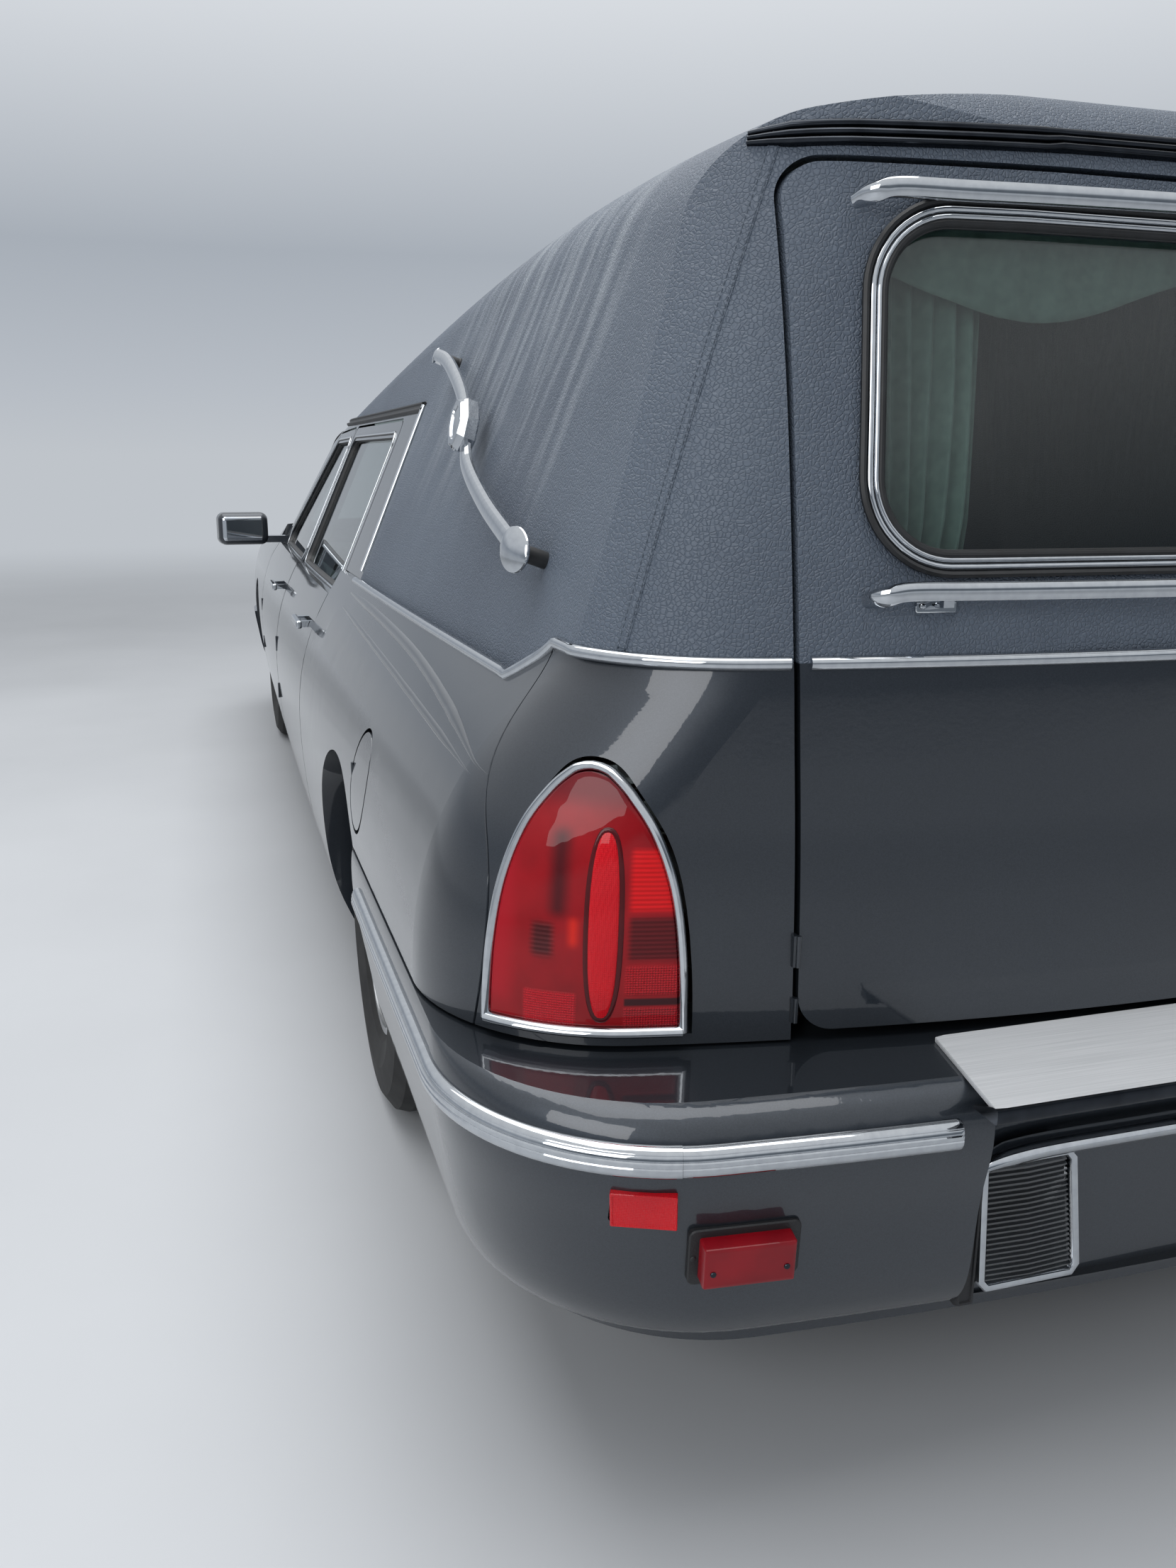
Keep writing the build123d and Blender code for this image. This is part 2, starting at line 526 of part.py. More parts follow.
# Bumpers: one envelope, fuller than the body, cut to the front and rear pieces
# z, half_width, x_front, x_rear, front_corner_r, rear_corner_r, widest_x, side_bow_r
BUMPER_ROWS = [
    (262, 905, 3080, -3030, 410, 300, -1000, 150000),
    (320, 945, 3112, -3085, 410, 300, -1000, 150000),
    (440, 985, 3142, -3132, 410, 300, -1000, 150000),
    (560, 1004, FRONT_END, REAR_END, 410, 300, -1000, 150000),
    (598, 1005, 3146, REAR_END, 410, 300, -1000, 150000),
    (628, 1002, 3132, -3136, 410, 295, -1000, 150000),
    (BUMPER_TOP_Z, 998, 3110, -3112, 410, 290, -1000, 150000),
]
BUMPER_REAR_BOW = 7000
BUMPER_WALL = 40


def bumper_body(inset=0, reach=0):
    rows = [list(row) for row in BUMPER_ROWS]
    rows[0][0] -= reach
    rows[-1][0] += reach
    return loft([plan_face(*row, LOWER_BOW_F, BUMPER_REAR_BOW, inset) for row in rows])


bumper_outer, bumper_inner = bumper_body(), bumper_body(BUMPER_WALL, 60)
bumper_ring = bumper_outer - bumper_inner
front_bumper = bumper_ring & span(BUMPER_F_REAR_X, FAR, -WIDE, WIDE, 0, BUMPER_F_TOP_Z)
shelf_zone = span(BUMPER_F_REAR_X, FAR, -WIDE, WIDE, BUMPER_F_TOP_Z - 22, BUMPER_F_TOP_Z)
front_bumper = front_bumper + ((bumper_outer - lower_inner) & shelf_zone)
AIR_SLOT = [(-420, 300), (420, 300), (400, 400), (-400, 400)]
front_bumper = front_bumper - rear_prism(AIR_SLOT, 2900, FAR, 30)
write("front_bumper", front_bumper)
RECESS_HALF, RECESS_Z = 398, (312, 604)
RECESS_X = -3058
rear_cut = drum(REAR_AXLE_X, *ARCH_CUT, TYRE_R, ARCH_R_REAR + 4)
rear_bumper = (bumper_ring & bumper_zone_rear) - rear_cut - mirrored(rear_cut)
shelf = bumper_outer & span(-FAR, -2895.3, -WIDE, WIDE, BUMPER_TOP_Z - 25, BUMPER_TOP_Z)
rear_bumper = rear_bumper + shelf
recess = span(-3300, RECESS_X, -RECESS_HALF, RECESS_HALF, *RECESS_Z)
RECESS_T = 12
recess_walls = span(-3200, RECESS_X + RECESS_T, -RECESS_HALF - RECESS_T, RECESS_HALF + RECESS_T,
                    RECESS_Z[0] - RECESS_T, RECESS_Z[1] + RECESS_T)
rear_bumper = (rear_bumper + (recess_walls & bumper_outer)) - recess
REFLECTOR = [(770, 503), (838, 503), (838, 538), (770, 538)]
FOG_LAMP = [(645, 428), (745, 428), (745, 486), (645, 486)]
lamp_shell = bumper_body(-2) - bumper_body(14, 60)
bumper_lamps = []
for outline in (REFLECTOR, FOG_LAMP):
    zone = rear_prism(outline, -FAR, -2900, 8)
    lens = biggest(lamp_shell & zone)
    bumper_lamps += [lens, mirrored(lens)]
    rear_bumper = rear_bumper - lens - mirrored(lens)
REVERSE_LAMP = [(212, 330), (352, 330), (362, 505), (236, 505)]
reverse_lamp = rear_prism(REVERSE_LAMP, RECESS_X - 26, RECESS_X - SEAT, 8)
bumper_lamps += [reverse_lamp, mirrored(reverse_lamp)]
write("bumper_lamps", Compound(children=bumper_lamps))
write("rear_bumper", rear_bumper)
step_plate = span(REAR_END + 4, -3018, -425, 425, BUMPER_TOP_Z + SEAT, BUMPER_TOP_Z + 6)
write("step_plate", step_plate)

# Grille: a chrome frame with upright bars, set into the nose
GRILLE_BARS = 17
GRILLE_FACE_X = 3062
frame_out = [(-GRILLE_HALF + SEAT, GRILLE_Z[0] + SEAT), (GRILLE_HALF - SEAT, GRILLE_Z[0] + SEAT),
             (GRILLE_HALF - SEAT, GRILLE_Z[1] - SEAT), (-GRILLE_HALF + SEAT, GRILLE_Z[1] - SEAT)]
frame_in = [(-GRILLE_HALF + 28, GRILLE_Z[0] + 28), (GRILLE_HALF - 28, GRILLE_Z[0] + 28),
            (GRILLE_HALF - 28, GRILLE_Z[1] - 28), (-GRILLE_HALF + 28, GRILLE_Z[1] - 28)]
grille = rear_prism(frame_out, 2990, GRILLE_FACE_X, GRILLE_CORNER_R - SEAT)
grille = grille - rear_prism(frame_in, 2900, 3200, 24)
bar_pitch = 2 * (GRILLE_HALF - 28) / GRILLE_BARS
for i in range(1, GRILLE_BARS):
    y = -(GRILLE_HALF - 28) + i * bar_pitch
    grille = grille + span(3000, GRILLE_FACE_X - 6, y - 4, y + 4, GRILLE_Z[0] + 20, GRILLE_Z[1] - 20)
write("grille", grille)

# Tail lamps: arched lenses wrapped round the rear corners, standing a little proud
LAMP_TURN = 35              # degrees from straight back towards the side
LAMP_HALF = 128
TAIL_LAMP_Z = (660, 990)
LAMP_PROUD = 7
LAMP_MID = (-2930, 842)
# Lamp outline: share of the height, share of the half width
LAMP_OUTLINE = [(0.0, 1.0), (0.30, 0.965), (0.55, 0.870), (0.76, 0.680), (0.90, 0.430), (1.0, 0.0)]


def lamp_prism(gap):
    """The lamp's arched outline, run through the corner of the body."""
    half, low, high = LAMP_HALF + gap, TAIL_LAMP_Z[0] - gap, TAIL_LAMP_Z[1] + gap
    side = [(half * w, low + (high - low) * t) for t, w in LAMP_OUTLINE]
    right_side = Spline(*side, tangents=[(0, 1), (-1, 0)])
    left_side = Spline(*[(-y, z) for y, z in reversed(side)], tangents=[(-1, 0), (0, -1)])
    outline = Wire([Line((-half, low), (half, low)), right_side, left_side])
    turn = math.radians(LAMP_TURN)
    out = (-math.cos(turn), math.sin(turn), 0)
    plane = Plane(origin=(LAMP_MID[0] - out[0] * 260, LAMP_MID[1] - out[1] * 260, 0),
                  x_dir=(-math.sin(turn), -math.cos(turn), 0), z_dir=out)
    return extrude(plane * Face(outline), 600)


lens_outer, lens_inner = lower_body(-LAMP_PROUD), lower_body(45, 60)
LAMP_RIM = 13
tail_lamp = biggest((lens_outer - lens_inner) & lamp_prism(-LAMP_RIM - SEAT))
rim_shell = lower_body(-LAMP_PROUD - 4) - lower_body(25, 60)
lamp_rim = biggest(rim_shell & (lamp_prism(0) - lamp_prism(-LAMP_RIM)))
lamp_opening = lamp_prism(SEAT)
quarter = quarter - lamp_opening - mirrored(lamp_opening)
FUEL_AT, FUEL_HALF = (-2055, 775), (84, 86)


def fuel_prism(gap):
    flat = Ellipse(FUEL_HALF[0] + gap, FUEL_HALF[1] + gap)
    return extrude(Plane(origin=(FUEL_AT[0], 780, FUEL_AT[1]), x_dir=(1, 0, 0), z_dir=(0, 1, 0)) * flat, 400)


fuel_flap = biggest((lower_outer - lower_body(10, 60)) & fuel_prism(0))
write("fuel_flap", fuel_flap)
quarter = quarter - ((lower_outer - lower_body(62, 60)) & fuel_prism(DOOR_GAP))
filler = drum(FUEL_AT[0], 880, 935, FUEL_AT[1], 34)
FUEL_HINGE = (FUEL_AT[0] + FUEL_HALF[0] + DOOR_GAP / 2, 982)
quarter = quarter + filler + gap_pin(*FUEL_HINGE, 760, 790, FUEL_HINGE[0] + 7, FUEL_HINGE[1] - 18)
for z0, z1 in LOAD_HINGE_Z:
    quarter = quarter + gap_pin(*LOAD_HINGE, z0, z1, LOAD_HINGE[0] + 26, LOAD_HINGE[1] + 6.5)
write("quarter_panels", quarter)
write("tail_lamps", both(tail_lamp))

# Wheels: tyre, pressed wheel, and at the front the knuckle that steers it
HUB_R = 30
HUB_FACE = 62               # from the wheel's middle out to the disc
TURN_FIT = 0.08             # between a journal and its bore
SPOKES = 10


def tyre_at(x, y):
    """A tyre turned about its axle: rounded shoulders and bulging walls."""
    w = TYRE_WIDTH / 2
    half = [(RIM_R - 4, w - 24), (RIM_R + 12, w - 12), (RIM_R + 60, w), (TYRE_R - 38, w - 6),
            (TYRE_R - 8, w - 26), (TYRE_R, w - 50)]
    other = [(r, -y1) for r, y1 in reversed(half)]
    flat = make_face(Polyline(*half, *other, close=True))
    return Pos(x, y, TYRE_R) * revolve(flat, Axis.Y)


def wheel_at(x, y):
    """An alloy wheel: rim barrel, dished disc with slots, hub with its bore; outer face towards +Y."""
    w = TYRE_WIDTH / 2
    rim_edge = RIM_R - 4.5
    rim = Polyline((rim_edge - 16, -w + 20), (rim_edge, -w + 20), (rim_edge, w - 20), (rim_edge - 14, w - 20),
                   (rim_edge - 20, w - 60), (rim_edge - 34, -20), (rim_edge - 28, -w + 60), close=True)
    barrel = revolve(make_face(rim), Axis.Y)
    bore = HUB_R + TURN_FIT
    disc = Polyline((bore, 0), (70, 0), (80, HUB_FACE - 34), (rim_edge - 26, HUB_FACE - 18),
                    (rim_edge - 16, HUB_FACE), (96, HUB_FACE - 8), (62, HUB_FACE - 2),
                    (bore, HUB_FACE + 4), close=True)
    plate = revolve(make_face(disc), Axis.Y)
    slot = Pos(0, HUB_FACE - 10, 0) * Rot(90, 0, 0) * Pos(0, 132, 0) * extrude(
        Pos(0, 0, -40) * make_face(Polyline((-13, -34), (13, -34), (25, 34), (-25, 34), close=True)), 80)
    for i in range(SPOKES):
        plate = plate - Rot(0, i * 360 / SPOKES, 0) * slot
    cap = Pos(0, HUB_FACE + 7, 0) * Rot(90, 0, 0) * Cylinder(44, 10)
    return Pos(x, y, TYRE_R) * (barrel + plate + cap)


for end, x, y in (("front", FRONT_AXLE_X, FRONT_TRACK_HALF), ("rear", REAR_AXLE_X, REAR_TRACK_HALF)):
    for side, make in (("left", lambda s: s), ("right", mirrored)):
        write(f"tyre_{end}_{side}", make(tyre_at(x, y)))
        write(f"wheel_{end}_{side}", make(wheel_at(x, y)))

stub_y = (KINGPIN_Y, FRONT_TRACK_HALF + HUB_FACE - 2)
knuckle = (span(FRONT_AXLE_X - 28, FRONT_AXLE_X + 28, KINGPIN_Y - 24, KINGPIN_Y + 24, 262, 500)
           + drum(FRONT_AXLE_X, *stub_y, TYRE_R, HUB_R)
           + drum(FRONT_AXLE_X, KINGPIN_Y, FRONT_TRACK_HALF - 8, TYRE_R, 62)
           + span(FRONT_AXLE_X - 150, FRONT_AXLE_X, KINGPIN_Y - 20, KINGPIN_Y + 4, 330, 352))
PIN_R = 12
for z0, z1 in ((250, 296), (466, 510)):
    knuckle = knuckle - Pos(FRONT_AXLE_X, KINGPIN_Y, (z0 + z1) / 2) * Cylinder(PIN_R + TURN_FIT, z1 - z0)
write("knuckle_left", knuckle)
write("knuckle_right", mirrored(knuckle))

# Below: floor, frame rails, axle, arms, exhaust, wheel liners
FLOOR_Z = (265, 290)
REAR_FLOOR_Z = (505, 530)
RISER_X = -1150
inside = lower_body(LOWER_WALL + 0.3, 100)
FLOOR_T = FLOOR_Z[1] - FLOOR_Z[0]
floor_zone = span(RISER_X, 1420, -WIDE, WIDE, *FLOOR_Z)
floor_zone = floor_zone + span(RISER_X, RISER_X + FLOOR_T, -WIDE, WIDE, FLOOR_Z[0], REAR_FLOOR_Z[1])
floor = inside & (floor_zone + span(-2890, RISER_X + FLOOR_T, -WIDE, WIDE, *REAR_FLOOR_Z))
liner_outer = drum(REAR_AXLE_X, 612, 900, TYRE_R, 412)
floor = floor - liner_outer - mirrored(liner_outer)
TUNNEL_HALF, TUNNEL_TOP = 95, 425
TUNNEL_T = 20
floor = floor + span(RISER_X, 1420, -TUNNEL_HALF, TUNNEL_HALF, FLOOR_Z[0], TUNNEL_TOP)
tunnel_inner = TUNNEL_HALF - TUNNEL_T
floor = floor - span(RISER_X - 50, 1500, -tunnel_inner, tunnel_inner, 0, TUNNEL_TOP - TUNNEL_T)
tunnel_cut = span(-1100, 1500, -TUNNEL_HALF - SEAT, TUNNEL_HALF + SEAT, 0, TUNNEL_TOP + SEAT)
write("floor_pan", floor)
bulkhead = (inside & span(1398, 1423, -WIDE, WIDE, FLOOR_Z[1], 965)) - tunnel_cut
write("bulkhead", bulkhead)
DECK_X, DECK_HALF = (-2895, 120), 610
DECK_Z, DECK_WALL = (622, 646), 22
DECK_STEP_X = RISER_X + 40
ROLLERS, ROLLER_PITCH = 9, 330
deck = span(*DECK_X, -DECK_HALF, DECK_HALF, *DECK_Z)
deck = deck + both(span(DECK_X[0], DECK_STEP_X, DECK_HALF - DECK_WALL, DECK_HALF, REAR_FLOOR_Z[1], DECK_Z[0]))
deck = deck + both(span(DECK_STEP_X, DECK_X[1], DECK_HALF - DECK_WALL, DECK_HALF, FLOOR_Z[1], DECK_Z[0]))
deck = deck + span(DECK_X[1] - 24, DECK_X[1], -590, 590, FLOOR_Z[1], DECK_Z[0]) - tunnel_cut
deck = deck + both(span(-2860, 100, 500, 560, DECK_Z[1], DECK_Z[1] + 22))
for i in range(ROLLERS):
    deck = deck + Pos(-2780 + i * ROLLER_PITCH, 0, DECK_Z[1] + 6) * Rot(90, 0, 0) * Cylinder(14, 900)
write("load_deck", deck)

RAIL_Y = (330, 400)
UNDER_FLOOR, UNDER_REAR = FLOOR_Z[0] - SEAT, REAR_FLOOR_Z[0] - SEAT
rail_path = [(-2960, 340), (-2960, 430), (-2145, 430), (-1985, UNDER_REAR), (-1505, UNDER_REAR),
             (-1345, UNDER_FLOOR), (1500, UNDER_FLOOR), (1640, 360), (2940, 360),
             (2940, 270), (1680, 270), (1540, 190), (-1385, 190),
             (-1545, 430), (-1945, 430), (-2105, 340)]
rail = side_prism(rail_path, *RAIL_Y)
chassis = rail + mirrored(rail)
CROSS_HALF = RAIL_Y[0] - 0.2
for x0, z0 in ((2800, 280), (980, 200), (-1000, 200), (-2700, 345)):
    chassis = chassis + span(x0, x0 + 80, -CROSS_HALF, CROSS_HALF, z0, z0 + 60)
write("chassis_frame", chassis)

axle = drum(REAR_AXLE_X, -REAR_TRACK_HALF + 20, REAR_TRACK_HALF - 20, TYRE_R, 38)
AXLE_BALL_R, BRAKE_R = 118, 62
HALF_SHAFT = REAR_TRACK_HALF + HUB_FACE - 2
axle = axle + Pos(REAR_AXLE_X, 0, TYRE_R) * Sphere(AXLE_BALL_R)
axle = axle + drum(REAR_AXLE_X, REAR_TRACK_HALF - 96, REAR_TRACK_HALF - 8, TYRE_R, BRAKE_R)
axle = axle + drum(REAR_AXLE_X, -REAR_TRACK_HALF + 8, -REAR_TRACK_HALF + 96, TYRE_R, BRAKE_R)
axle = axle + drum(REAR_AXLE_X, -HALF_SHAFT, HALF_SHAFT, TYRE_R, HUB_R)
axle = axle + both(span(REAR_AXLE_X - 40, REAR_AXLE_X + 40, RAIL_Y[0], RAIL_Y[1], TYRE_R, 430))
write("rear_axle", axle)
SHAFT_X = (REAR_AXLE_X + AXLE_BALL_R + SEAT, 1500)
shaft = Pos(sum(SHAFT_X) / 2, 0, 340) * Rot(0, 90, 0) * Cylinder(36, SHAFT_X[1] - SHAFT_X[0])
write("propeller_shaft", shaft)
engine = span(1520, 2250, -290, 290, 332, 740) + span(1800, 1900, -330, 330, 290, 334)
engine = engine + Pos(1510, 0, 340) * Rot(0, 90, 0) * Cylinder(60, 20)
engine = engine - span(1400, SHAFT_X[1] + 0.2, -100, 100, 200, 500)
write("engine_block", engine)



def wishbone(foot, tip_half, foot_y, tip_y, z0, z1):
    """A suspension arm seen from above: broad at the frame, narrow at the knuckle."""
    outline = [(FRONT_AXLE_X - foot, foot_y), (FRONT_AXLE_X - tip_half, tip_y),
               (FRONT_AXLE_X + tip_half, tip_y), (FRONT_AXLE_X + foot, foot_y)]
    return plan_prism(outline, z0, z1)


lower_arm = wishbone(130, 26, 400, 712, 228, 256)
lower_arm = lower_arm + Pos(FRONT_AXLE_X, KINGPIN_Y, 270) * Cylinder(PIN_R, 40)
lower_arm = lower_arm + span(FRONT_AXLE_X - 130, FRONT_AXLE_X + 130, 345, 402, 228, 270)
upper_arm = wishbone(100, 24, 398, 708, 506, 526)
upper_arm = upper_arm + Pos(FRONT_AXLE_X, KINGPIN_Y, 494) * Cylinder(PIN_R, 44)
upper_arm = upper_arm + span(FRONT_AXLE_X - 100, FRONT_AXLE_X + 100, 345, 400, 360, 526)
write("front_arms", both(Compound(children=[lower_arm, upper_arm])))

LINER_R = 411.5
front_liner = drum(FRONT_AXLE_X, 455, 888, TYRE_R, 451) - drum(FRONT_AXLE_X, 400, 1000, TYRE_R, 445)
front_liner = (front_liner & span(1600, 2700, 400, 1000, TYRE_R, 900)) & inside
liner_zone = span(-2200, -1100, 600, 1000, TYRE_R, 900)
rear_liner = drum(REAR_AXLE_X, 640, 888, TYRE_R, LINER_R) - drum(REAR_AXLE_X, 500, 1000, TYRE_R, LINER_R - 6.5)
rear_liner = (rear_liner & liner_zone) & inside
rear_liner = rear_liner + (drum(REAR_AXLE_X, 634, 640, TYRE_R, LINER_R) & liner_zone)
rear_liner = rear_liner - drum(REAR_AXLE_X, 600, 700, TYRE_R, 72)
write("wheel_liners", both(Compound(children=[front_liner, rear_liner])))

PIPE_Y, PIPE_Z = -240, 171.8
exhaust = Pos(-780, PIPE_Y, PIPE_Z) * Rot(0, 90, 0) * Cylinder(28, 4320)
exhaust = exhaust + Pos(300, PIPE_Y, PIPE_Z) * Rot(0, 90, 0) * Cylinder(52, 620)
write("exhaust", exhaust)

# Cabin: dashboard, seats, steering wheel
dash = fillet(span(1090, 1397.7, -795, 795, 700, 975).edges().filter_by(Axis.Y), 45)
WHEEL_TILT = 24
STEER_AT = (905, 380, 870)
COLUMN_R = 24
column_axis = Pos(*STEER_AT) * Rot(0, -90 + WHEEL_TILT, 0)
column_bore = COLUMN_R + TURN_FIT
tube = column_axis * Pos(0, 0, -200) * (Cylinder(36, 160) - Cylinder(column_bore, 200))
dash = (dash - column_axis * Pos(0, 0, -200) * Cylinder(column_bore, 160)) + tube
write("dashboard", dash)
seats = []
SEAT_LEAN = Rot(0, -14, 0)
for y in (STEER_AT[1], -STEER_AT[1]):
    cushion = fillet(span(330, 850, y - 250, y + 250, 330, 520).edges(), 50)
    back = Pos(330, y, 760) * SEAT_LEAN * fillet(Box(150, 480, 560).edges(), 50)
    head = Pos(255, y, 1110) * SEAT_LEAN * fillet(Box(110, 250, 150).edges(), 40)
    stalk = Pos(290, y, 1020) * SEAT_LEAN * Box(24, 120, 160)
    seats.append(cushion + back + head + stalk + span(420, 760, y - 200, y + 200, FLOOR_Z[1], 340))
write("front_seats", Compound(children=seats))
rim_ring = Torus(182, 14) + Cylinder(42, 40) + Box(350, 34, 12) + Pos(0, -90, 0) * Box(30, 180, 12)
steering = column_axis * (rim_ring + Pos(0, 0, -95) * Cylinder(COLUMN_R, 170))
write("steering_wheel", steering)

# Bright trim: mouldings along the vinyl's edge, drip rails, load door trim and rails, landau irons
TRIM_PROUD = 7
BAND_HALF = 10
band = side_prism([(VINYL_FRONT_X + 4, MOULDING_Z - BAND_HALF), (KICK_X, MOULDING_Z - BAND_HALF),
                   (KICK_X - KICK_RUN, MOULDING_REAR_Z - BAND_HALF), (-FAR, MOULDING_REAR_Z - BAND_HALF),
                   (-FAR, MOULDING_REAR_Z + BAND_HALF), (KICK_X - KICK_RUN - 8, MOULDING_REAR_Z + BAND_HALF),
                   (KICK_X - 8, MOULDING_Z + BAND_HALF), (VINYL_FRONT_X + 4, MOULDING_Z + BAND_HALF)],
                  WIDE, -WIDE)
trim_upper = upper_body(-TRIM_PROUD)
band_ring = ((lower_body(-TRIM_PROUD) & band) + (trim_upper & band)) - lower_outer - upper_outer
drip_zone = span(VINYL_FRONT_X, 880, -WIDE, WIDE, RAIL_TOP_Z - 24, RAIL_TOP_Z)
drip_foot_z = MOULDING_Z + BAND_HALF + 0.5
drip_zone = drip_zone + span(VINYL_FRONT_X, VINYL_FRONT_X + 22, -WIDE, WIDE, drip_foot_z, RAIL_TOP_Z)
drip_zone = drip_zone - span(-FAR, FAR, -520, 520, 1000, 1900)
drip_rails = (trim_upper & drip_zone) - upper_outer
mouldings = [s for s in (band_ring - load_hole).solids() + drip_rails.solids() if abs(s.center().Y) > 300]

STRIP_Z, STRIP_INNER_Y = (576, 600), 485
strip_zone = span(-FAR, REAR_AXLE_X - 200, -WIDE, WIDE, *STRIP_Z)
strip_zone = strip_zone - span(-FAR, -2000, -STRIP_INNER_Y, STRIP_INNER_Y, 500, 700)
bumper_strip = ((bumper_body(-6) & strip_zone) - bumper_outer) - rear_cut - mirrored(rear_cut)
bumper_strips = [s for s in bumper_strip.solids() if s.volume > 5000]
write("mouldings", mouldings + [lamp_rim, mirrored(lamp_rim)] + bumper_strips)
window_ring = (trim_upper & (back_prism(LOAD_WINDOW, 24, 105) - load_window)) - upper_outer
window_ring = biggest(window_ring & span(-FAR, -2700, -WIDE, WIDE, 1100, 1800))
door_trim = [biggest(band_ring & load_plug), window_ring]
# Two grab rails over the vinyl: z, how far back the door's face is at the middle
RAIL_HALF, RAIL_POST_Y = 488, 400
RAIL_STAND = 36
for z, x_face in ((1186, -2956), (1624, -2877)):
    mid = x_face - RAIL_STAND
    bends = [(x_face + 24, -RAIL_HALF, z), (mid + 28, 40 - RAIL_HALF, z), (mid, 0, z),
             (mid + 28, RAIL_HALF - 40, z), (x_face + 24, RAIL_HALF, z)]
    path = Spline(*bends)
    rail = sweep(Plane(origin=path @ 0, x_dir=(0, 0, 1), z_dir=path % 0) * RectangleRounded(22, 13, 5), path)
    posts = both(Pos(x_face + 4, RAIL_POST_Y, z) * Rot(0, 90, 0) * Cylinder(8, 72))
    feet = both(trim_upper & span(-FAR, -2700, RAIL_POST_Y - 24, RAIL_POST_Y + 24, z - 14, z + 14))
    door_trim.append(rail + ((posts + feet) - upper_outer - lower_outer))
write("load_door_trim", door_trim)

LANDAU_ENDS = [Vector(-1416, 667, 1527), Vector(-2555, 771, 1194)]
LANDAU_STAND = 40
LANDAU_HALF = 594
chord = (LANDAU_ENDS[0] - LANDAU_ENDS[1]).normalized()
landau_out = Vector(0, 1, 0.36) - chord * Vector(0, 1, 0.36).dot(chord)
landau_plane = Plane(origin=(LANDAU_ENDS[0] + LANDAU_ENDS[1]) * 0.5, x_dir=chord, z_dir=landau_out)
BAR_POINTS = [(-LANDAU_HALF, 0), (-328, 27), (-100, 34), (0, 10), (60, -8), (200, -24), (432, -22),
              (LANDAU_HALF, 0)]
bar_path = Spline(*BAR_POINTS, tangents=[(1, 0.12), (1, 0.12)])
iron = Pos(0, 0, LANDAU_STAND) * extrude(trace(bar_path, 24), 9)
for u, radius in ((-LANDAU_HALF, 27), (LANDAU_HALF, 15)):
    iron = iron + Pos(u, 0, LANDAU_STAND + 4) * Cylinder(radius, 16)
    iron = iron + Pos(u, 0, LANDAU_STAND / 2 - 10) * Cylinder(9, LANDAU_STAND + 24)
MEDALLION = [(-56, -12), (-24, -30), (24, -30), (56, -12), (56, 12), (24, 30), (-24, 30), (-56, 12)]
medallion = extrude(make_face(Polyline(*MEDALLION, close=True)), 18)
iron = iron + Pos(30, 0, LANDAU_STAND - 3) * Rot(0, 0, -16) * medallion
landau = (landau_plane * iron) - upper_outer
write("landau_irons", both(biggest(landau)))
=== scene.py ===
import bpy
import bmesh
from math import atan2, copysign, cos, pi, radians, sin
from mathutils import Matrix, Vector
from mathutils.bvhtree import BVHTree


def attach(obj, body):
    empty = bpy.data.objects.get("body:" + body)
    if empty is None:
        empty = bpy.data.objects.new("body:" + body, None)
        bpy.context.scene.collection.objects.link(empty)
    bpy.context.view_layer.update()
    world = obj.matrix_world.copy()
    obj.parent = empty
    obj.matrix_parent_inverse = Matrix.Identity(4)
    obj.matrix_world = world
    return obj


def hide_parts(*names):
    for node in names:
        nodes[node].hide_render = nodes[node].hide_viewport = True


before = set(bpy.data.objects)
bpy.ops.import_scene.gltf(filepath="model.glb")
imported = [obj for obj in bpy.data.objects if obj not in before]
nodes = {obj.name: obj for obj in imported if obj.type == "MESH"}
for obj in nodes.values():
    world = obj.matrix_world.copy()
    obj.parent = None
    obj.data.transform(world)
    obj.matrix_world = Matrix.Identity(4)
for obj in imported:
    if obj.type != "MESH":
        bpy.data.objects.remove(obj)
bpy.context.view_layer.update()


# Painted steel body: pressed and welded panels, wings, hood and door skins, in a
# dark grey metallic coat under clear lacquer that mirrors the sky. The flakes
# are about a tenth of a millimetre across, and drawn at a millimetre to show.
def srgb(code):
    """A hex colour as written on a colour card, turned to linear light."""
    parts = [int(code[i:i + 2], 16) / 255 for i in (0, 2, 4)]
    return tuple(p / 12.92 if p <= 0.04045 else ((p + 0.055) / 1.055) ** 2.4 for p in parts) + (1.0,)


def join(tree, node, links):
    """Feeds a node's inputs from (socket, another node, one of its outputs, or a value) pairs."""
    for socket, source in links:
        if isinstance(source, bpy.types.Node):
            source = source.outputs[0]
        if isinstance(source, bpy.types.NodeSocket):
            tree.links.new(source, node.inputs[socket])
        else:
            node.inputs[socket].default_value = source


def add(tree, kind, links=(), stops=(), **settings):
    """Adds a node with its settings and links; stops are (place, hex colour or grey level)."""
    made = tree.nodes.new("ShaderNode" + kind)
    for key, value in settings.items():
        if hasattr(made, key):
            setattr(made, key, value)
        else:
            made.inputs[key.replace("_", " ")].default_value = value
    join(tree, made, links)
    if stops:
        band = made.color_ramp
        while len(band.elements) < len(stops):
            band.elements.new(0.5)
        for element, (place, colour) in zip(band.elements, stops):
            element.position = place
            element.color = srgb(colour) if isinstance(colour, str) else (colour, colour, colour, 1)
    return made


def material(name, **values):
    """A node material with values on its shader's own sockets, and its object coordinates."""
    made = bpy.data.materials.new(name)
    made.use_nodes = True
    tree = made.node_tree
    shader = tree.nodes["Principled BSDF"]
    join(tree, shader, [(key.replace("_", " "), value) for key, value in values.items()])
    return made, tree, shader, add(tree, "TexCoord").outputs["Object"]


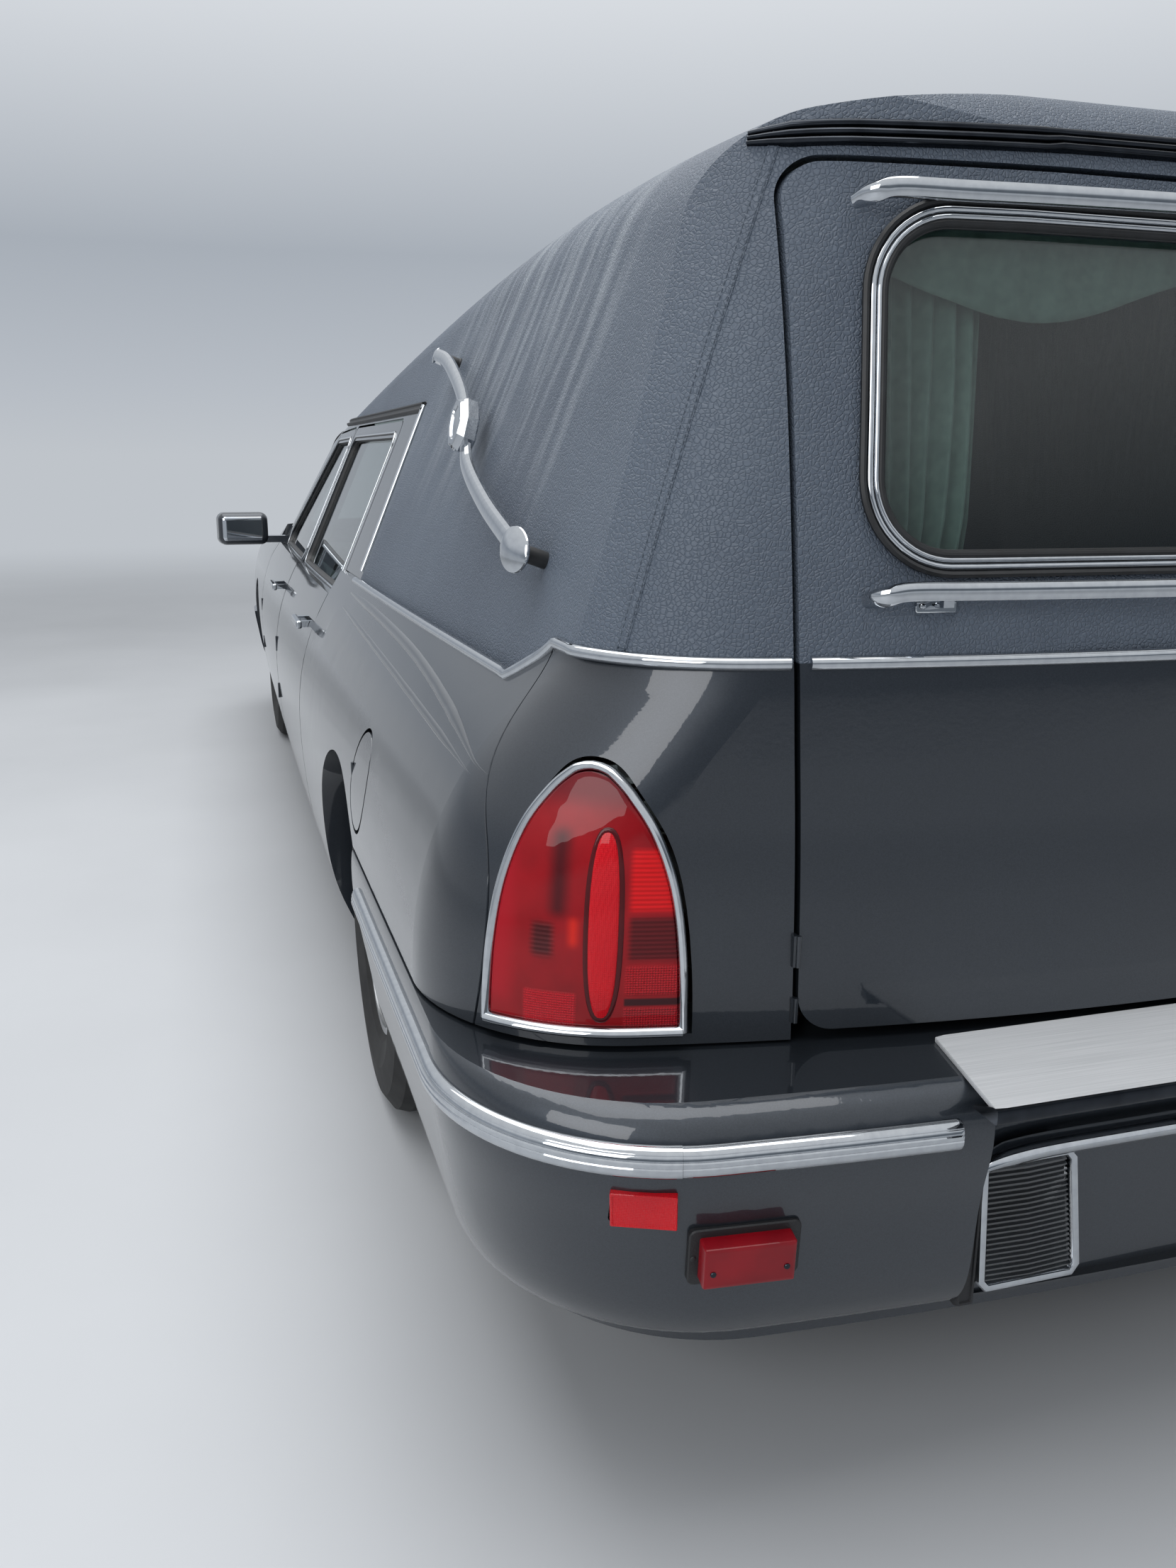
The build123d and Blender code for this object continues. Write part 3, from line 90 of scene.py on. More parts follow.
def finish_all(names, made):
    """Gives CAD nodes their material and smooth shading with crisp edges."""
    for name in names:
        mesh = nodes[name].data
        mesh.materials.clear()
        mesh.materials.append(made)
        mesh.set_sharp_from_angle(angle=radians(28))
        mesh.polygons.foreach_set("use_smooth", [True] * len(mesh.polygons))


paint, tree, shader, where = material("metallic_body_lacquer", Metallic=0.75, Roughness=0.42, Coat_Weight=1.0,
                                      Coat_Roughness=0.04)
flake = add(tree, "TexVoronoi", [("Vector", where)], Scale=900.0)
drift = add(tree, "TexNoise", [("Vector", where)], Scale=1.3, Detail=3.0)
shade = add(tree, "ValToRGB", [("Fac", drift)], [(0.3, "33383F"), (0.7, "3A4047")])
spark = add(tree, "ValToRGB", [("Fac", flake.outputs["Color"])], [(0.0, "9BA3AE"), (1.0, "E9ECF2")])
mixed = add(tree, "Mix", data_type="RGBA", blend_type="MULTIPLY")
join(tree, mixed, [("Factor", 0.55), (6, shade), (7, spark)])
peel = add(tree, "TexNoise", [("Vector", where)], Scale=160.0, Detail=1.0)
peel_bump = add(tree, "Bump", [("Height", peel)], Strength=0.02, Distance=0.002)
join(tree, shader, [("Base Color", mixed.outputs[2]), ("Coat Normal", peel_bump)])
DOORS = [f"door_{end}_{side}" for end in ("front", "rear") for side in ("left", "right")]
finish_all(["body_frame", "quarter_panels", "wings", "nose_panel", "hood", "load_door", "fuel_flap",
            "front_bumper", "rear_bumper"] + DOORS, paint)

# Black moulded trim: the cowl grille and the dashboard are injection moulded
# plastic with a satin face and a leather grain of pores about 2 mm apart.
black_plastic, tree, shader, where = material("moulded_black_plastic", Roughness=0.55)
pores = add(tree, "TexVoronoi", [("Vector", where)], Scale=420.0)
pore_bump = add(tree, "Bump", [("Height", pores)], Strength=0.35, Distance=0.0006)
tone = add(tree, "TexNoise", [("Vector", where)], Scale=6.0, Detail=4.0)
toned = add(tree, "ValToRGB", [("Fac", tone)], [(0.3, "17181A"), (0.75, "232427")])
join(tree, shader, [("Base Color", toned), ("Normal", pore_bump)])
finish_all(["cowl_panel", "dashboard", "wheel_liners", "bulkhead", "steering_wheel"], black_plastic)


# Running gear: frame rails, axle, arms and exhaust are steel, dipped or sprayed
# black and dusty from the road. The engine is one block of sand-cast aluminium.
def patterned(name, pattern, stops, kind="TexNoise", stretch=None, bump=None, **values):
    """A material coloured by one pattern, which raises it too where bump gives (strength, metres)."""
    made, tree, shader, where = material(name, **values)
    if stretch:
        where = add(tree, "Mapping", [("Vector", where)], Scale=stretch)
    grain = add(tree, kind, [("Vector", where)], **pattern).outputs["Fac"]
    join(tree, shader, [("Base Color", add(tree, "ValToRGB", [("Fac", grain)], stops))])
    if bump:
        raised = add(tree, "Bump", [("Height", grain)], Strength=bump[0], Distance=bump[1])
        join(tree, shader, [("Normal", raised)])
    return made, tree, shader, grain


dark_steel, tree, shader, dust = patterned(
    "underbody_coated_steel", dict(Scale=9.0, Detail=8.0, Roughness=0.65),
    [(0.35, "16171A"), (0.6, "2B2A29"), (0.85, "4A443D")], bump=(0.3, 0.002))
join(tree, shader, [("Roughness", add(tree, "ValToRGB", [("Fac", dust)], [(0.3, 0.45), (0.8, 0.9)]))])
finish_all(["floor_pan", "chassis_frame", "rear_axle", "propeller_shaft", "front_arms", "exhaust",
            "knuckle_left", "knuckle_right"], dark_steel)
engine_alloy = patterned("sand_cast_aluminium", dict(Scale=120.0, Detail=5.0),
                         [(0.3, "6C6E70"), (0.7, "9A9C9E")], bump=(0.4, 0.001),
                         Metallic=1.0, Roughness=0.55)[0]
finish_all(["engine_block"], engine_alloy)

# Load deck: hardwood boards, lacquered, with steel rollers across them.
# The grain runs lengthways with the boards.
deck_wood = patterned("lacquered_hardwood", dict(Scale=3.0, Detail=9.0, Roughness=0.6),
                      [(0.25, "2A170D"), (0.55, "55331E"), (0.8, "7A4C2D")], stretch=(1.2, 18.0, 18.0),
                      Roughness=0.35, Coat_Weight=0.6)[0]
finish_all(["load_deck"], deck_wood)

# Wheels: black rubber tyres, slightly grey with road dust, on cast aluminium
# discs that are machined and lacquered.
rubber = patterned("tyre_rubber", dict(Scale=24.0, Detail=6.0), [(0.3, "141415"), (0.75, "2A2A2A")],
                   Roughness=0.82)[0]
alloy = patterned("machined_wheel_alloy", dict(Scale=14.0, Detail=5.0), [(0.3, "A9ABAD"), (0.7, "C9CBCD")],
                  Metallic=1.0, Roughness=0.28)[0]
for part, look in (("tyre", rubber), ("wheel", alloy)):
    finish_all([f"{part}_{end}_{side}" for end in ("front", "rear") for side in ("left", "right")], look)

# Glass: tinted safety glass, green-grey, seen dark from outside. It lets
# daylight through to the cabin.
glass, tree, shader, where = material("tinted_safety_glass", Roughness=0.01, Transmission_Weight=1.0, IOR=1.5)
wash = add(tree, "TexNoise", [("Vector", where)], Scale=2.0, Detail=2.0)
tint = add(tree, "ValToRGB", [("Fac", wash)], [(0.3, "B4BFBD"), (0.7, "BEC8C6")])
join(tree, shader, [("Base Color", tint)])
let_through = add(tree, "BsdfTransparent", [("Color", tint)])
in_shadow = add(tree, "LightPath").outputs["Is Shadow Ray"]
lit_inside = add(tree, "MixShader", [("Fac", in_shadow), (1, shader), (2, let_through)])
join(tree, tree.nodes["Material Output"], [("Surface", lit_inside)])
finish_all(["windscreen", "load_door_glass"] + [door.replace("door", "glass") for door in DOORS], glass)

# Vinyl roof: padded coated cloth with a leather grain, stretched over the rear
# body and faded blue-grey; rain has left pale runs down the sides. The grain's
# cells are about 6 mm across, coarser than real ones, so that they show.
def within(tree, edges):
    """1 where every (coordinate, begins, full) edge is passed and 0 before it, with smooth edges."""
    found = None
    for source, begins, full in edges:
        edge = add(tree, "MapRange", [("Value", source), ("From Min", begins), ("From Max", full)],
                   interpolation_type="SMOOTHSTEP")
        found = edge if found is None else add(tree, "Math", [(0, found), (1, edge)], operation="MULTIPLY")
    return found


RUN_SLANT = radians(23)
vinyl, tree, shader, where = material("grained_roof_vinyl", Roughness=0.5, Specular_IOR_Level=0.4)
cells = add(tree, "TexVoronoi", [("Vector", where)], Scale=175.0, feature="DISTANCE_TO_EDGE")
pebble = add(tree, "ValToRGB", [("Fac", cells)], [(0.0, 0.0), (0.18, 1.0)])
coarse = add(tree, "TexNoise", [("Vector", where)], Scale=70.0, Detail=4.0)
mix_height = add(tree, "Math", [(0, coarse), (1, pebble)], operation="ADD")
grain_bump = add(tree, "Bump", [("Height", mix_height)], Strength=0.6, Distance=0.0018)
fade = add(tree, "TexNoise", [("Vector", where)], Scale=2.2, Detail=5.0)
base = add(tree, "ValToRGB", [("Fac", fade)], [(0.3, "4E5764"), (0.7, "5A6471")])
slanted = add(tree, "Mapping", [("Vector", where)], Rotation=(0.0, RUN_SLANT, 0.0))
runs = add(tree, "Mapping", [("Vector", slanted)], Scale=(8.5, 2.2, 0.9))
run_noise = add(tree, "TexNoise", [("Vector", runs)], Scale=2.0, Detail=9.0, Roughness=0.68, Distortion=0.1)
run_mask = add(tree, "ValToRGB", [("Fac", run_noise)], [(0.46, 0.0), (0.66, 0.9)])
split = add(tree, "SeparateXYZ", [("Vector", where)])
off_middle = add(tree, "Math", [(0, split.outputs["Y"])], operation="ABSOLUTE")
on_side = within(tree, [(split.outputs["X"], -2.66, -2.40), (split.outputs["X"], -1.0, -1.7),
                        (off_middle, 0.36, 0.62), (split.outputs["Z"], 1.15, 1.5)])
masked = add(tree, "Math", [(0, on_side), (1, run_mask)], operation="MULTIPLY")
stained = add(tree, "Mix", data_type="RGBA")
join(tree, stained, [("Factor", masked), (6, base), (7, srgb("8F969E"))])
join(tree, shader, [("Base Color", stained.outputs[2]), ("Normal", grain_bump)])
finish_all(["vinyl_roof", "load_door_vinyl"], vinyl)

# Corner seams of the vinyl: the side and back pieces are folded under and sewn
# with two rows of heavy thread down each rear corner, over a low welt.
MM = 0.001


def outside(*names):
    """A search tree over the faces of CAD nodes, for laying trim on them."""
    built = bmesh.new()
    for name in names:
        built.from_mesh(nodes[name].data)
    found = BVHTree.FromBMesh(built)
    built.free()
    return found


def land(tree, start, direction):
    """Where a ray first meets a surface, and the outward normal there, or None."""
    aim = Vector(direction).normalized()
    point, normal, _, _ = tree.ray_cast(Vector(start), aim)
    if point is None:
        return None
    return (point, -normal if normal.dot(aim) > 0 else normal)


def laid(tree, shots, sink=0.0, upright=False):
    """The (point, normal) pairs that rays hit, sunk by some metres, with level normals where upright."""
    path = []
    for start, direction in shots:
        hit = land(tree, start, direction)
        if hit:
            point, normal = hit
            if upright:
                normal = Vector((normal.x, normal.y, 0)).normalized()
            path.append((point - normal * sink, normal))
    return path


def between(low, high, count):
    """Evenly spaced numbers, both ends included."""
    return [low + (high - low) * i / (count - 1) for i in range(count)]


def new_piece(name, verts, faces, look, body, slot, sharp=35):
    """A mesh object with its material and its body; the slot argument is not used."""
    mesh = bpy.data.meshes.new(name)
    mesh.from_pydata([tuple(v) for v in verts], [], faces)
    tidy = bmesh.new()
    tidy.from_mesh(mesh)
    bmesh.ops.recalc_face_normals(tidy, faces=tidy.faces)
    tidy.to_mesh(mesh)
    tidy.free()
    mesh.materials.append(look)
    mesh.polygons.foreach_set("use_smooth", [True] * len(mesh.polygons))
    mesh.set_sharp_from_angle(angle=radians(sharp))
    made = bpy.data.objects.new(name, mesh)
    bpy.context.scene.collection.objects.link(made)
    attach(made, body)
    return made


def skinned(rings, closed=False):
    """Corners and faces through rings of equal count, with end caps unless the rings close up."""
    count, total = len(rings[0]), len(rings)
    verts, faces = [corner for ring in rings for corner in ring], []
    for i in range(total if closed else total - 1):
        j = (i + 1) % total
        for n in range(count):
            m = (n + 1) % count
            faces.append((i * count + n, i * count + m, j * count + m, j * count + n))
    if not closed:
        faces += [tuple(range(count)), tuple(range(len(verts) - count, len(verts)))]
    return verts, faces


def swept(path, outline, closed=False, scales=None):
    """An outline of (across, out) millimetres run along (point, normal) pairs."""
    rings, count = [], len(path)
    for i, (point, normal) in enumerate(path):
        before = path[(i - 1) % count if closed else max(i - 1, 0)][0]
        after = path[(i + 1) % count if closed else min(i + 1, count - 1)][0]
        along = (after - before).normalized()
        across = along.cross(normal).normalized()
        out = across.cross(along)
        k = (scales[i] if scales else 1) * MM
        rings.append([point + across * (x * k) + out * (y * k) for x, y in outline])
    return skinned(rings, closed)


def bead(width, height, sink=1.0, steps=8, power=1.0):
    """A half-round outline that stands on the surface."""
    arc = [pi * i / steps for i in range(steps + 1)]
    top = [(width / 2 * cos(t), height * sin(t) ** power) for t in arc]
    return [(-width / 2, -sink), (width / 2, -sink)] + top


def merged(parts):
    """Several (verts, faces) pairs as one."""
    verts, faces = [], []
    for v, f in parts:
        start = len(verts)
        verts += v
        faces += [tuple(i + start for i in one) for one in f]
    return verts, faces


def both_sides(name, parts, look, body, slot, sharp=35):
    """A piece with the same shape on both sides of the car."""
    verts, faces = merged(parts)
    mirrored = [Vector((v[0], -v[1], v[2])) for v in verts], [tuple(reversed(f)) for f in faces]
    return new_piece(name, *merged([(verts, faces), mirrored]), look, body, slot, sharp)


def spaced(path, step):
    """Points every step metres along a path of (point, normal) pairs."""
    found, left = [path[0]], step
    for (p, n), (q, m) in zip(path, path[1:]):
        run = (q - p).length
        at = left
        while at < run:
            t = at / run
            found.append((p.lerp(q, t), n.lerp(m, t).normalized()))
            at += step
        left = at - run
    return found


vinyl_skin = outside("vinyl_roof")
CORNER_FOOT, CORNER_TOP = (-2.818, 0.742, 1.112), (-2.800, 0.566, 1.700)
SEAM_STEPS = 60
shots = []
for t in between(0.0, 1.0, SEAM_STEPS):
    aim = Vector((0.72, -0.69, -0.12 - 0.5 * t ** 6))
    shots.append((Vector(CORNER_FOOT).lerp(Vector(CORNER_TOP), t) - aim * 0.3, aim))
corner = laid(vinyl_skin, shots)
thread = patterned("sewing_thread_nylon", dict(Scale=900.0), [(0.3, "3B444F"), (0.7, "4B5561")],
                   Roughness=0.7)[0]
both_sides("vinyl_corner_welts", [swept(corner, bead(15, 1.6, power=0.6))], vinyl, "body", "vinyl")
STITCH_PITCH, STITCH_LENGTH, STITCH_ROWS = 0.0085, 0.0052, (-5.0, 5.0)
stitches = []
along = (corner[-1][0] - corner[0][0]).normalized()
for point, normal in spaced(corner, STITCH_PITCH):
    across = along.cross(normal).normalized()
    for row in STITCH_ROWS:
        mid = point + across * (row * MM) + normal * (1.2 * MM)
        ends = [(mid + along * (STITCH_LENGTH / 2 * end), normal) for end in (-1, 0, 1)]
        stitches.append(swept(ends, bead(1.9, 1.1, 0.4, 4), scales=[0.7, 1.0, 0.7]))
both_sides("vinyl_corner_stitches", stitches, thread, "body", "vinyl")

# Bright mouldings: rolled stainless steel strips, half round, clipped over the
# edge where the vinyl ends, round the lamps and along the rear bumper.
chrome, tree, shader, pit = patterned("polished_chromium_plate", dict(Scale=90.0, Detail=6.0),
                                      [(0.3, "B6BABF"), (0.75, "C3C7CB")], Metallic=1.0)
join(tree, shader, [("Roughness", add(tree, "ValToRGB", [("Fac", pit)], [(0.35, 0.025), (0.8, 0.06)]))])
finish_all(["grille", "load_door_trim"], chrome)
gasket = patterned("extruded_epdm_rubber", dict(Scale=45.0, Detail=4.0), [(0.3, "101113"), (0.75, "1E2023")],
                   Roughness=0.5)[0]
moulding_skin = outside("mouldings")
LINE_Z, REAR_LINE_Z, DRIP_Z = 1.044, 1.102, 1.449
FRONT_X, KICK_X, KICK_RUN, DRIP_END_X = -1.133, -2.580, 0.110, 0.855
CORNER_AT, GAP_Y, FRONT_TOP_Z = (-2.70, 0.56), 0.5735, 1.452
BAND_SINK, EDGE_SINK = 0.007, 0.006
BAND_OUTLINE = bead(17, 9, 2.0)
GUTTER_OUTLINE = [(-11, -2), (11, -2), (11, 4), (8, 9), (5, 9), (3, 5), (-3, 5), (-6, 8), (-9, 8), (-11, 4)]


def from_left(x, z):
    """A ray onto the car's left side."""
    return ((x, 1.4, z), (0, -1, 0))


def from_rear(y, z):
    """A ray onto the car's back."""
    return ((-3.4, y, z), (1, 0, 0))


def round_corner(middle, count):
    """Rays towards a middle point from straight left round to straight back."""
    shots = []
    for turn in between(radians(90), radians(180), count):
        out = Vector((cos(turn), sin(turn), 0))
        shots.append((Vector(middle) + out * 0.8, -out))
    return shots


shots = [from_left(x, LINE_Z) for x in between(FRONT_X, KICK_X, 60)]
shots += [from_left(KICK_X - KICK_RUN * t, LINE_Z + (REAR_LINE_Z - LINE_Z) * t)
          for t in between(0.1, 1.0, 9)]
shots += round_corner((*CORNER_AT, REAR_LINE_Z), 40)
edge = [(p, n) for p, n in laid(moulding_skin, shots, BAND_SINK, True) if p.y > GAP_Y]
shots = [from_left(FRONT_X + 0.005, z) for z in between(LINE_Z, FRONT_TOP_Z, 40)]
front_edge = laid(moulding_skin, shots, EDGE_SINK)
shots = [from_left(x, DRIP_Z) for x in between(FRONT_X, DRIP_END_X, 90)]
drip = laid(moulding_skin, shots, EDGE_SINK)
both_sides("vinyl_edge_mouldings", [swept(edge, BAND_OUTLINE), swept(front_edge, bead(13, 8, 2.0))],
           chrome, "body", "chrome")
both_sides("drip_rails", [swept(drip, GUTTER_OUTLINE)], gasket, "body", "black_plastic")

LAMP_TURN, LAMP_MID = radians(35), Vector((-2.930, 0.842, 0))
LAMP_LOW, LAMP_HIGH, LAMP_HALF, RIM = 0.660, 0.990, 0.128, 0.0065
lamp_out = Vector((-cos(LAMP_TURN), sin(LAMP_TURN), 0))
lamp_across = Vector((-sin(LAMP_TURN), -cos(LAMP_TURN), 0))


def smooth_line(points, count):
    """Points along a Catmull-Rom curve through the given ones."""
    ends = [tuple(2 * a - b for a, b in zip(points[0], points[1]))] + list(points)
    ends.append(tuple(2 * a - b for a, b in zip(points[-1], points[-2])))
    found = []
    for i in range(count + 1):
        t = i / count * (len(points) - 1)
        k = min(int(t), len(points) - 2)
        t -= k
        p = ends[k:k + 4]
        found.append(tuple(
            0.5 * (2 * b + (c - a) * t + (2 * a - 5 * b + 4 * c - d) * t * t
                   + (3 * b - a - 3 * c + d) * t ** 3)
            for a, b, c, d in zip(*p)))
    return found


LAMP_OUTLINE = [(0.0, 1.0), (0.30, 0.965), (0.55, 0.870), (0.76, 0.680), (0.90, 0.430), (0.973, 0.225),
                (0.994, 0.105), (1.0, 0.0)]
side = smooth_line(LAMP_OUTLINE, 48)
arch = [(-w, t) for t, w in side] + [(w, t) for t, w in reversed(side[:-1])]


def lamp_shot(a, z):
    """A ray onto the left tail lamp at (across, height)."""
    return (LAMP_MID + lamp_across * a + Vector((0, 0, z)) + lamp_out * 0.3, -lamp_out)


TALL = LAMP_HIGH - LAMP_LOW
RIM_SINK = 0.008
shots = [lamp_shot(w * (LAMP_HALF - RIM), LAMP_LOW + RIM + t * (TALL - 2 * RIM)) for w, t in arch]
rim_path = laid(moulding_skin, shots, RIM_SINK)
shots = [lamp_shot(a, LAMP_LOW + 0.007) for a in between(-LAMP_HALF, LAMP_HALF, 33)]
foot_path = laid(moulding_skin, shots, RIM_SINK)
both_sides("tail_lamp_rims", [swept(rim_path, bead(13, 12, 2.0)), swept(foot_path, bead(16, 14, 2.0))],
           chrome, "body", "chrome")

STRIP_Z, STRIP_END_Y, STRIP_BACK_Y = 0.591, 0.442, 0.69
STRIP_SIDE, STRIP_CORNER = (-2.150, -2.770), (-2.80, 0.70)
STRIP_OUTLINE = [(-19, -3), (19, -3), (19, 2), (17.5, 6), (14, 9.5), (9, 11.5), (4, 12), (2.5, 11),
                 (1, 11.6), (-3, 11.4), (-4.5, 10.2), (-6, 10.8), (-10, 9.8), (-11.5, 8.6), (-13, 8.8),
                 (-16.5, 6.5), (-19, 2)]
JOINT_AT, REAR_STRIP_SCALE, STRIP_TIP_SCALE = 50, 0.965, 0.9
shots = [from_left(x, STRIP_Z) for x in between(*STRIP_SIDE, 24)]
shots += round_corner((*STRIP_CORNER, STRIP_Z), 30)
shots += [from_rear(y, STRIP_Z) for y in between(STRIP_BACK_Y, STRIP_END_Y + 0.012, 13)]
shots += [from_rear(STRIP_END_Y + off, STRIP_Z) for off in (0.005, 0.002, 0.0)]
strip = laid(outside("rear_bumper"), shots, -0.0005, True)
rear_part = strip[JOINT_AT - 1:]
strip_scales = [REAR_STRIP_SCALE] * (len(rear_part) - 1) + [STRIP_TIP_SCALE]
strips = [swept(strip[:JOINT_AT], STRIP_OUTLINE), swept(rear_part, STRIP_OUTLINE, scales=strip_scales)]
both_sides("bumper_bright_strips", strips, chrome, "body", "chrome")
for name in ("vinyl_edge_mouldings", "drip_rails", "tail_lamp_rims", "bumper_bright_strips"):
    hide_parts("mouldings")

# Window surrounds: extruded rubber frames hold the glass, with bright beads let
# into them: two on the rear window, one on each side window, none in front.
RUBBER_OUTLINE = [(-7, 10), (-7, 12.5), (-3, 15), (24, 15), (26.5, 17), (26.5, 21), (23, 23.5), (19.5, 22),
                  (18, 18), (10, 16.5), (9, 16.5), (2, 17.5), (0, 18.5), (-3, 18), (-5, 16)]
SIDE_RUBBER = [(-5, -1), (-5, 2), (-1, 8), (3, 13), (9, 14.5), (13, 13), (13, 9)]


def rim_of(name, facing, pitch=0.009):
    """The edge of a pane's outer face as a closed path of (point, normal) pairs."""
    pane = bmesh.new()
    pane.from_mesh(nodes[name].data)
    bmesh.ops.remove_doubles(pane, verts=pane.verts, dist=1e-5)
    pane.normal_update()
    chosen = [face for face in pane.faces if face.normal.dot(Vector(facing)) > 0.3]
    chosen_set, following = set(chosen), {}
    for face in chosen:
        for loop in face.loops:
            if not any(other in chosen_set for other in loop.edge.link_faces if other is not face):
                following[loop.vert] = (loop.link_loop_next.vert, face.normal.copy())
    loops = []
    while following:
        vert = next(iter(following))
        path = []
        while vert in following:
            after, normal = following.pop(vert)
            path.append((vert.co.copy(), normal))
            vert = after
        loops.append(path)
    longest = max(loops, key=len)
    pane.free()
    return spaced(longest + longest[:1], pitch)[:-1]


def shifted(outline, across=0.0, out=0.0):
    """An outline moved sideways and outwards, in millimetres."""
    return [(x + across, y + out) for x, y in outline]


PANES = [("windscreen", "body", (1, 0, 0.3))]
PANES += [(f"glass_{end}_{side}", f"{end}_door_{side}", (0, way, 0))
          for end in ("front", "rear") for side, way in (("left", 1), ("right", -1))]
for name, body, facing in PANES:
    path = rim_of(name, facing)
    new_piece(name + "_rubber", *swept(path, SIDE_RUBBER, True), gasket, body, "black_plastic")
    if name != "windscreen":
        bright = swept(path, shifted(bead(7, 3.4, 1.5), 9.5, 12.5), True)
        new_piece(name + "_bright_bead", *bright, chrome, body, "chrome")
rear_rim = rim_of("load_door_glass", (-1, 0, 0))
new_piece("rear_window_rubber", *swept(rear_rim, RUBBER_OUTLINE, True), gasket, "load_door", "black_plastic")
REAR_BEADS = [((8.4, 5.2), (14.0, 16.0)), ((6.8, 4.2), (5.6, 15.8))]
beads = [swept(rear_rim, shifted(bead(*size), *place), True) for size, place in REAR_BEADS]
rear_beads = new_piece("rear_window_bright_beads", *merged(beads), chrome, "load_door", "chrome")

# Load door trim: the band that carries on the moulding, and two grab rails on
# screwed brackets. The drip moulding above the door is dark anodised aluminium.
door_trim_skin = outside("load_door_trim")


def rounded_ring(half_w, half_h, radius, each=6):
    """Corners of a rounded rectangle about its middle."""
    radius = min(radius, half_w * 0.999, half_h * 0.999)
    ring = []
    for quarter, (sx, sy) in enumerate(((1, 1), (-1, 1), (-1, -1), (1, -1))):
        for t in between(quarter * 90, quarter * 90 + 90, each):
            turn = radians(t)
            ring.append((sx * (half_w - radius) + radius * cos(turn),
                         sy * (half_h - radius) + radius * sin(turn)))
    return ring


def plate(at, out, up, half, radius, levels, each=6):
    """A rounded plate in millimetres; each level is (growth, height along out)."""
    out = Vector(out).normalized()
    side_way = Vector(up).cross(out).normalized()
    up = out.cross(side_way)
    rings = []
    for grow, height in levels:
        ring = rounded_ring(half[0] + grow, half[1] + grow, max(radius + grow, 0.3), each)
        rings.append([Vector(at) + (side_way * x + up * y + out * height) * MM for x, y in ring])
    return skinned(rings)


def turned(at, axis, profile, steps=24, oval=1.0):
    """A lathed form in millimetres from (radius, height along axis) pairs."""
    axis = Vector(axis).normalized()
    first = axis.orthogonal().normalized()
    second = axis.cross(first)
    rings = []
    for radius, height in profile:
        ring = []
        for i in range(steps):
            t = 2 * pi * i / steps
            spoke = first * cos(t) * radius * oval + second * sin(t) * radius
            ring.append(Vector(at) + (spoke + axis * height) * MM)
        rings.append(ring)
    return skinned(rings)


def tapered(count, start, step, skip=0):
    """Scales for the places along a swept line that thins towards its ends."""
    return [min(1.0, start + step * min(i + skip, count - 1 - i)) for i in range(count)]


SCREW = [(3.6, -1.0), (3.6, 0.7), (2.8, 1.7), (1.4, 2.1), (0.2, 2.2)]
BACKWARD, UPWARD = Vector((-1, 0, 0)), Vector((0, 0, 1))
shots = [from_rear(y, REAR_LINE_Z) for y in between(0.571, -0.571, 70)]
door_parts, bracket_parts = [swept(laid(door_trim_skin, shots, BAND_SINK, True), BAND_OUTLINE)], []
# Each rail: height, the door's face there, how far its brackets sit above it
RAILS = [(1.186, -2.956, -0.020), (1.628, -2.876, 0.009)]
RAIL_OUTLINE = [(11, -6), (11, 1), (10, 4), (7, 6), (3, 7), (-3, 7), (-7, 6), (-10, 4), (-11, 1), (-11, -6)]
RAIL_STAND, RAIL_POST_Y, BRACKET_SCREW_Y = 0.036, 0.400, 0.018
door_vinyl_skin = outside("load_door_vinyl")
for z, x_face, plate_off in RAILS:
    mid = x_face - RAIL_STAND
    knots = [(x_face + 0.021, -0.492, z - 0.013), (x_face - 0.004, -0.478, z - 0.006)]
    knots += [(mid + bow, y, z) for bow, y in ((0.026, -0.452), (0.019, -0.370), (0.007, -0.220), (0.0, 0.0))]
    knots += [(x, -y, h) for x, y, h in reversed(knots[:-1])]
    line = [(Vector(p), BACKWARD) for p in smooth_line(knots, 90)]
    door_parts.append(swept(line, RAIL_OUTLINE, scales=tapered(len(line), 0.72, 0.05)))
    for y in (-RAIL_POST_Y, 0.0, RAIL_POST_Y):
        point, normal = land(door_vinyl_skin, *from_rear(y, z + plate_off))
        rail_x = mid + 0.022 * (y / RAIL_POST_Y) ** 2
        reach = (point.x - rail_x) / MM - 4
        bracket_parts += [plate(point, normal, UPWARD, (26, 8), 3, [(0, -2), (0, 2.5), (-1.2, 3.6)]),
                          plate(point - UPWARD * plate_off * 0.4, BACKWARD, UPWARD, (9, 9), 2,
                                [(0, -1), (0, 6), (-2, reach)])]
        for across in (-BRACKET_SCREW_Y, BRACKET_SCREW_Y):
            spot = point + Vector((0, across, 0)) + normal * 0.0034
            bracket_parts.append(turned(spot, normal, SCREW, 12))
rails = new_piece("load_door_band_and_rails", *merged(door_parts), chrome, "load_door", "chrome")
brackets = new_piece("load_door_rail_brackets", *merged(bracket_parts), chrome, "load_door", "chrome")
for one in (rear_beads, rails, brackets):
    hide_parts("load_door_trim")

dark_alloy = patterned("dark_anodised_aluminium", dict(Scale=30.0, Detail=4.0),
                       [(0.3, "2B2E33"), (0.75, "3A3E44")], Metallic=1.0, Roughness=0.22)[0]
RIB_OUTLINE = [(-15, -3), (15, -3)]
for middle, height in ((10, 6), (0, 7.5), (-10, 9)):
    RIB_OUTLINE += [(middle + 4.6 * cos(t), 1 + height * sin(t)) for t in between(0.25, 2.9, 7)]
DOOR_DRIP_Z, DOOR_DRIP_HALF, DOOR_DRIP_CROWN = 1.690, 0.590, 0.008
shots = [from_rear(y, DOOR_DRIP_Z + DOOR_DRIP_CROWN * (1 - (y / DOOR_DRIP_HALF) ** 2))
         for y in between(-DOOR_DRIP_HALF, DOOR_DRIP_HALF, 60)]
drip_line = laid(vinyl_skin, shots)
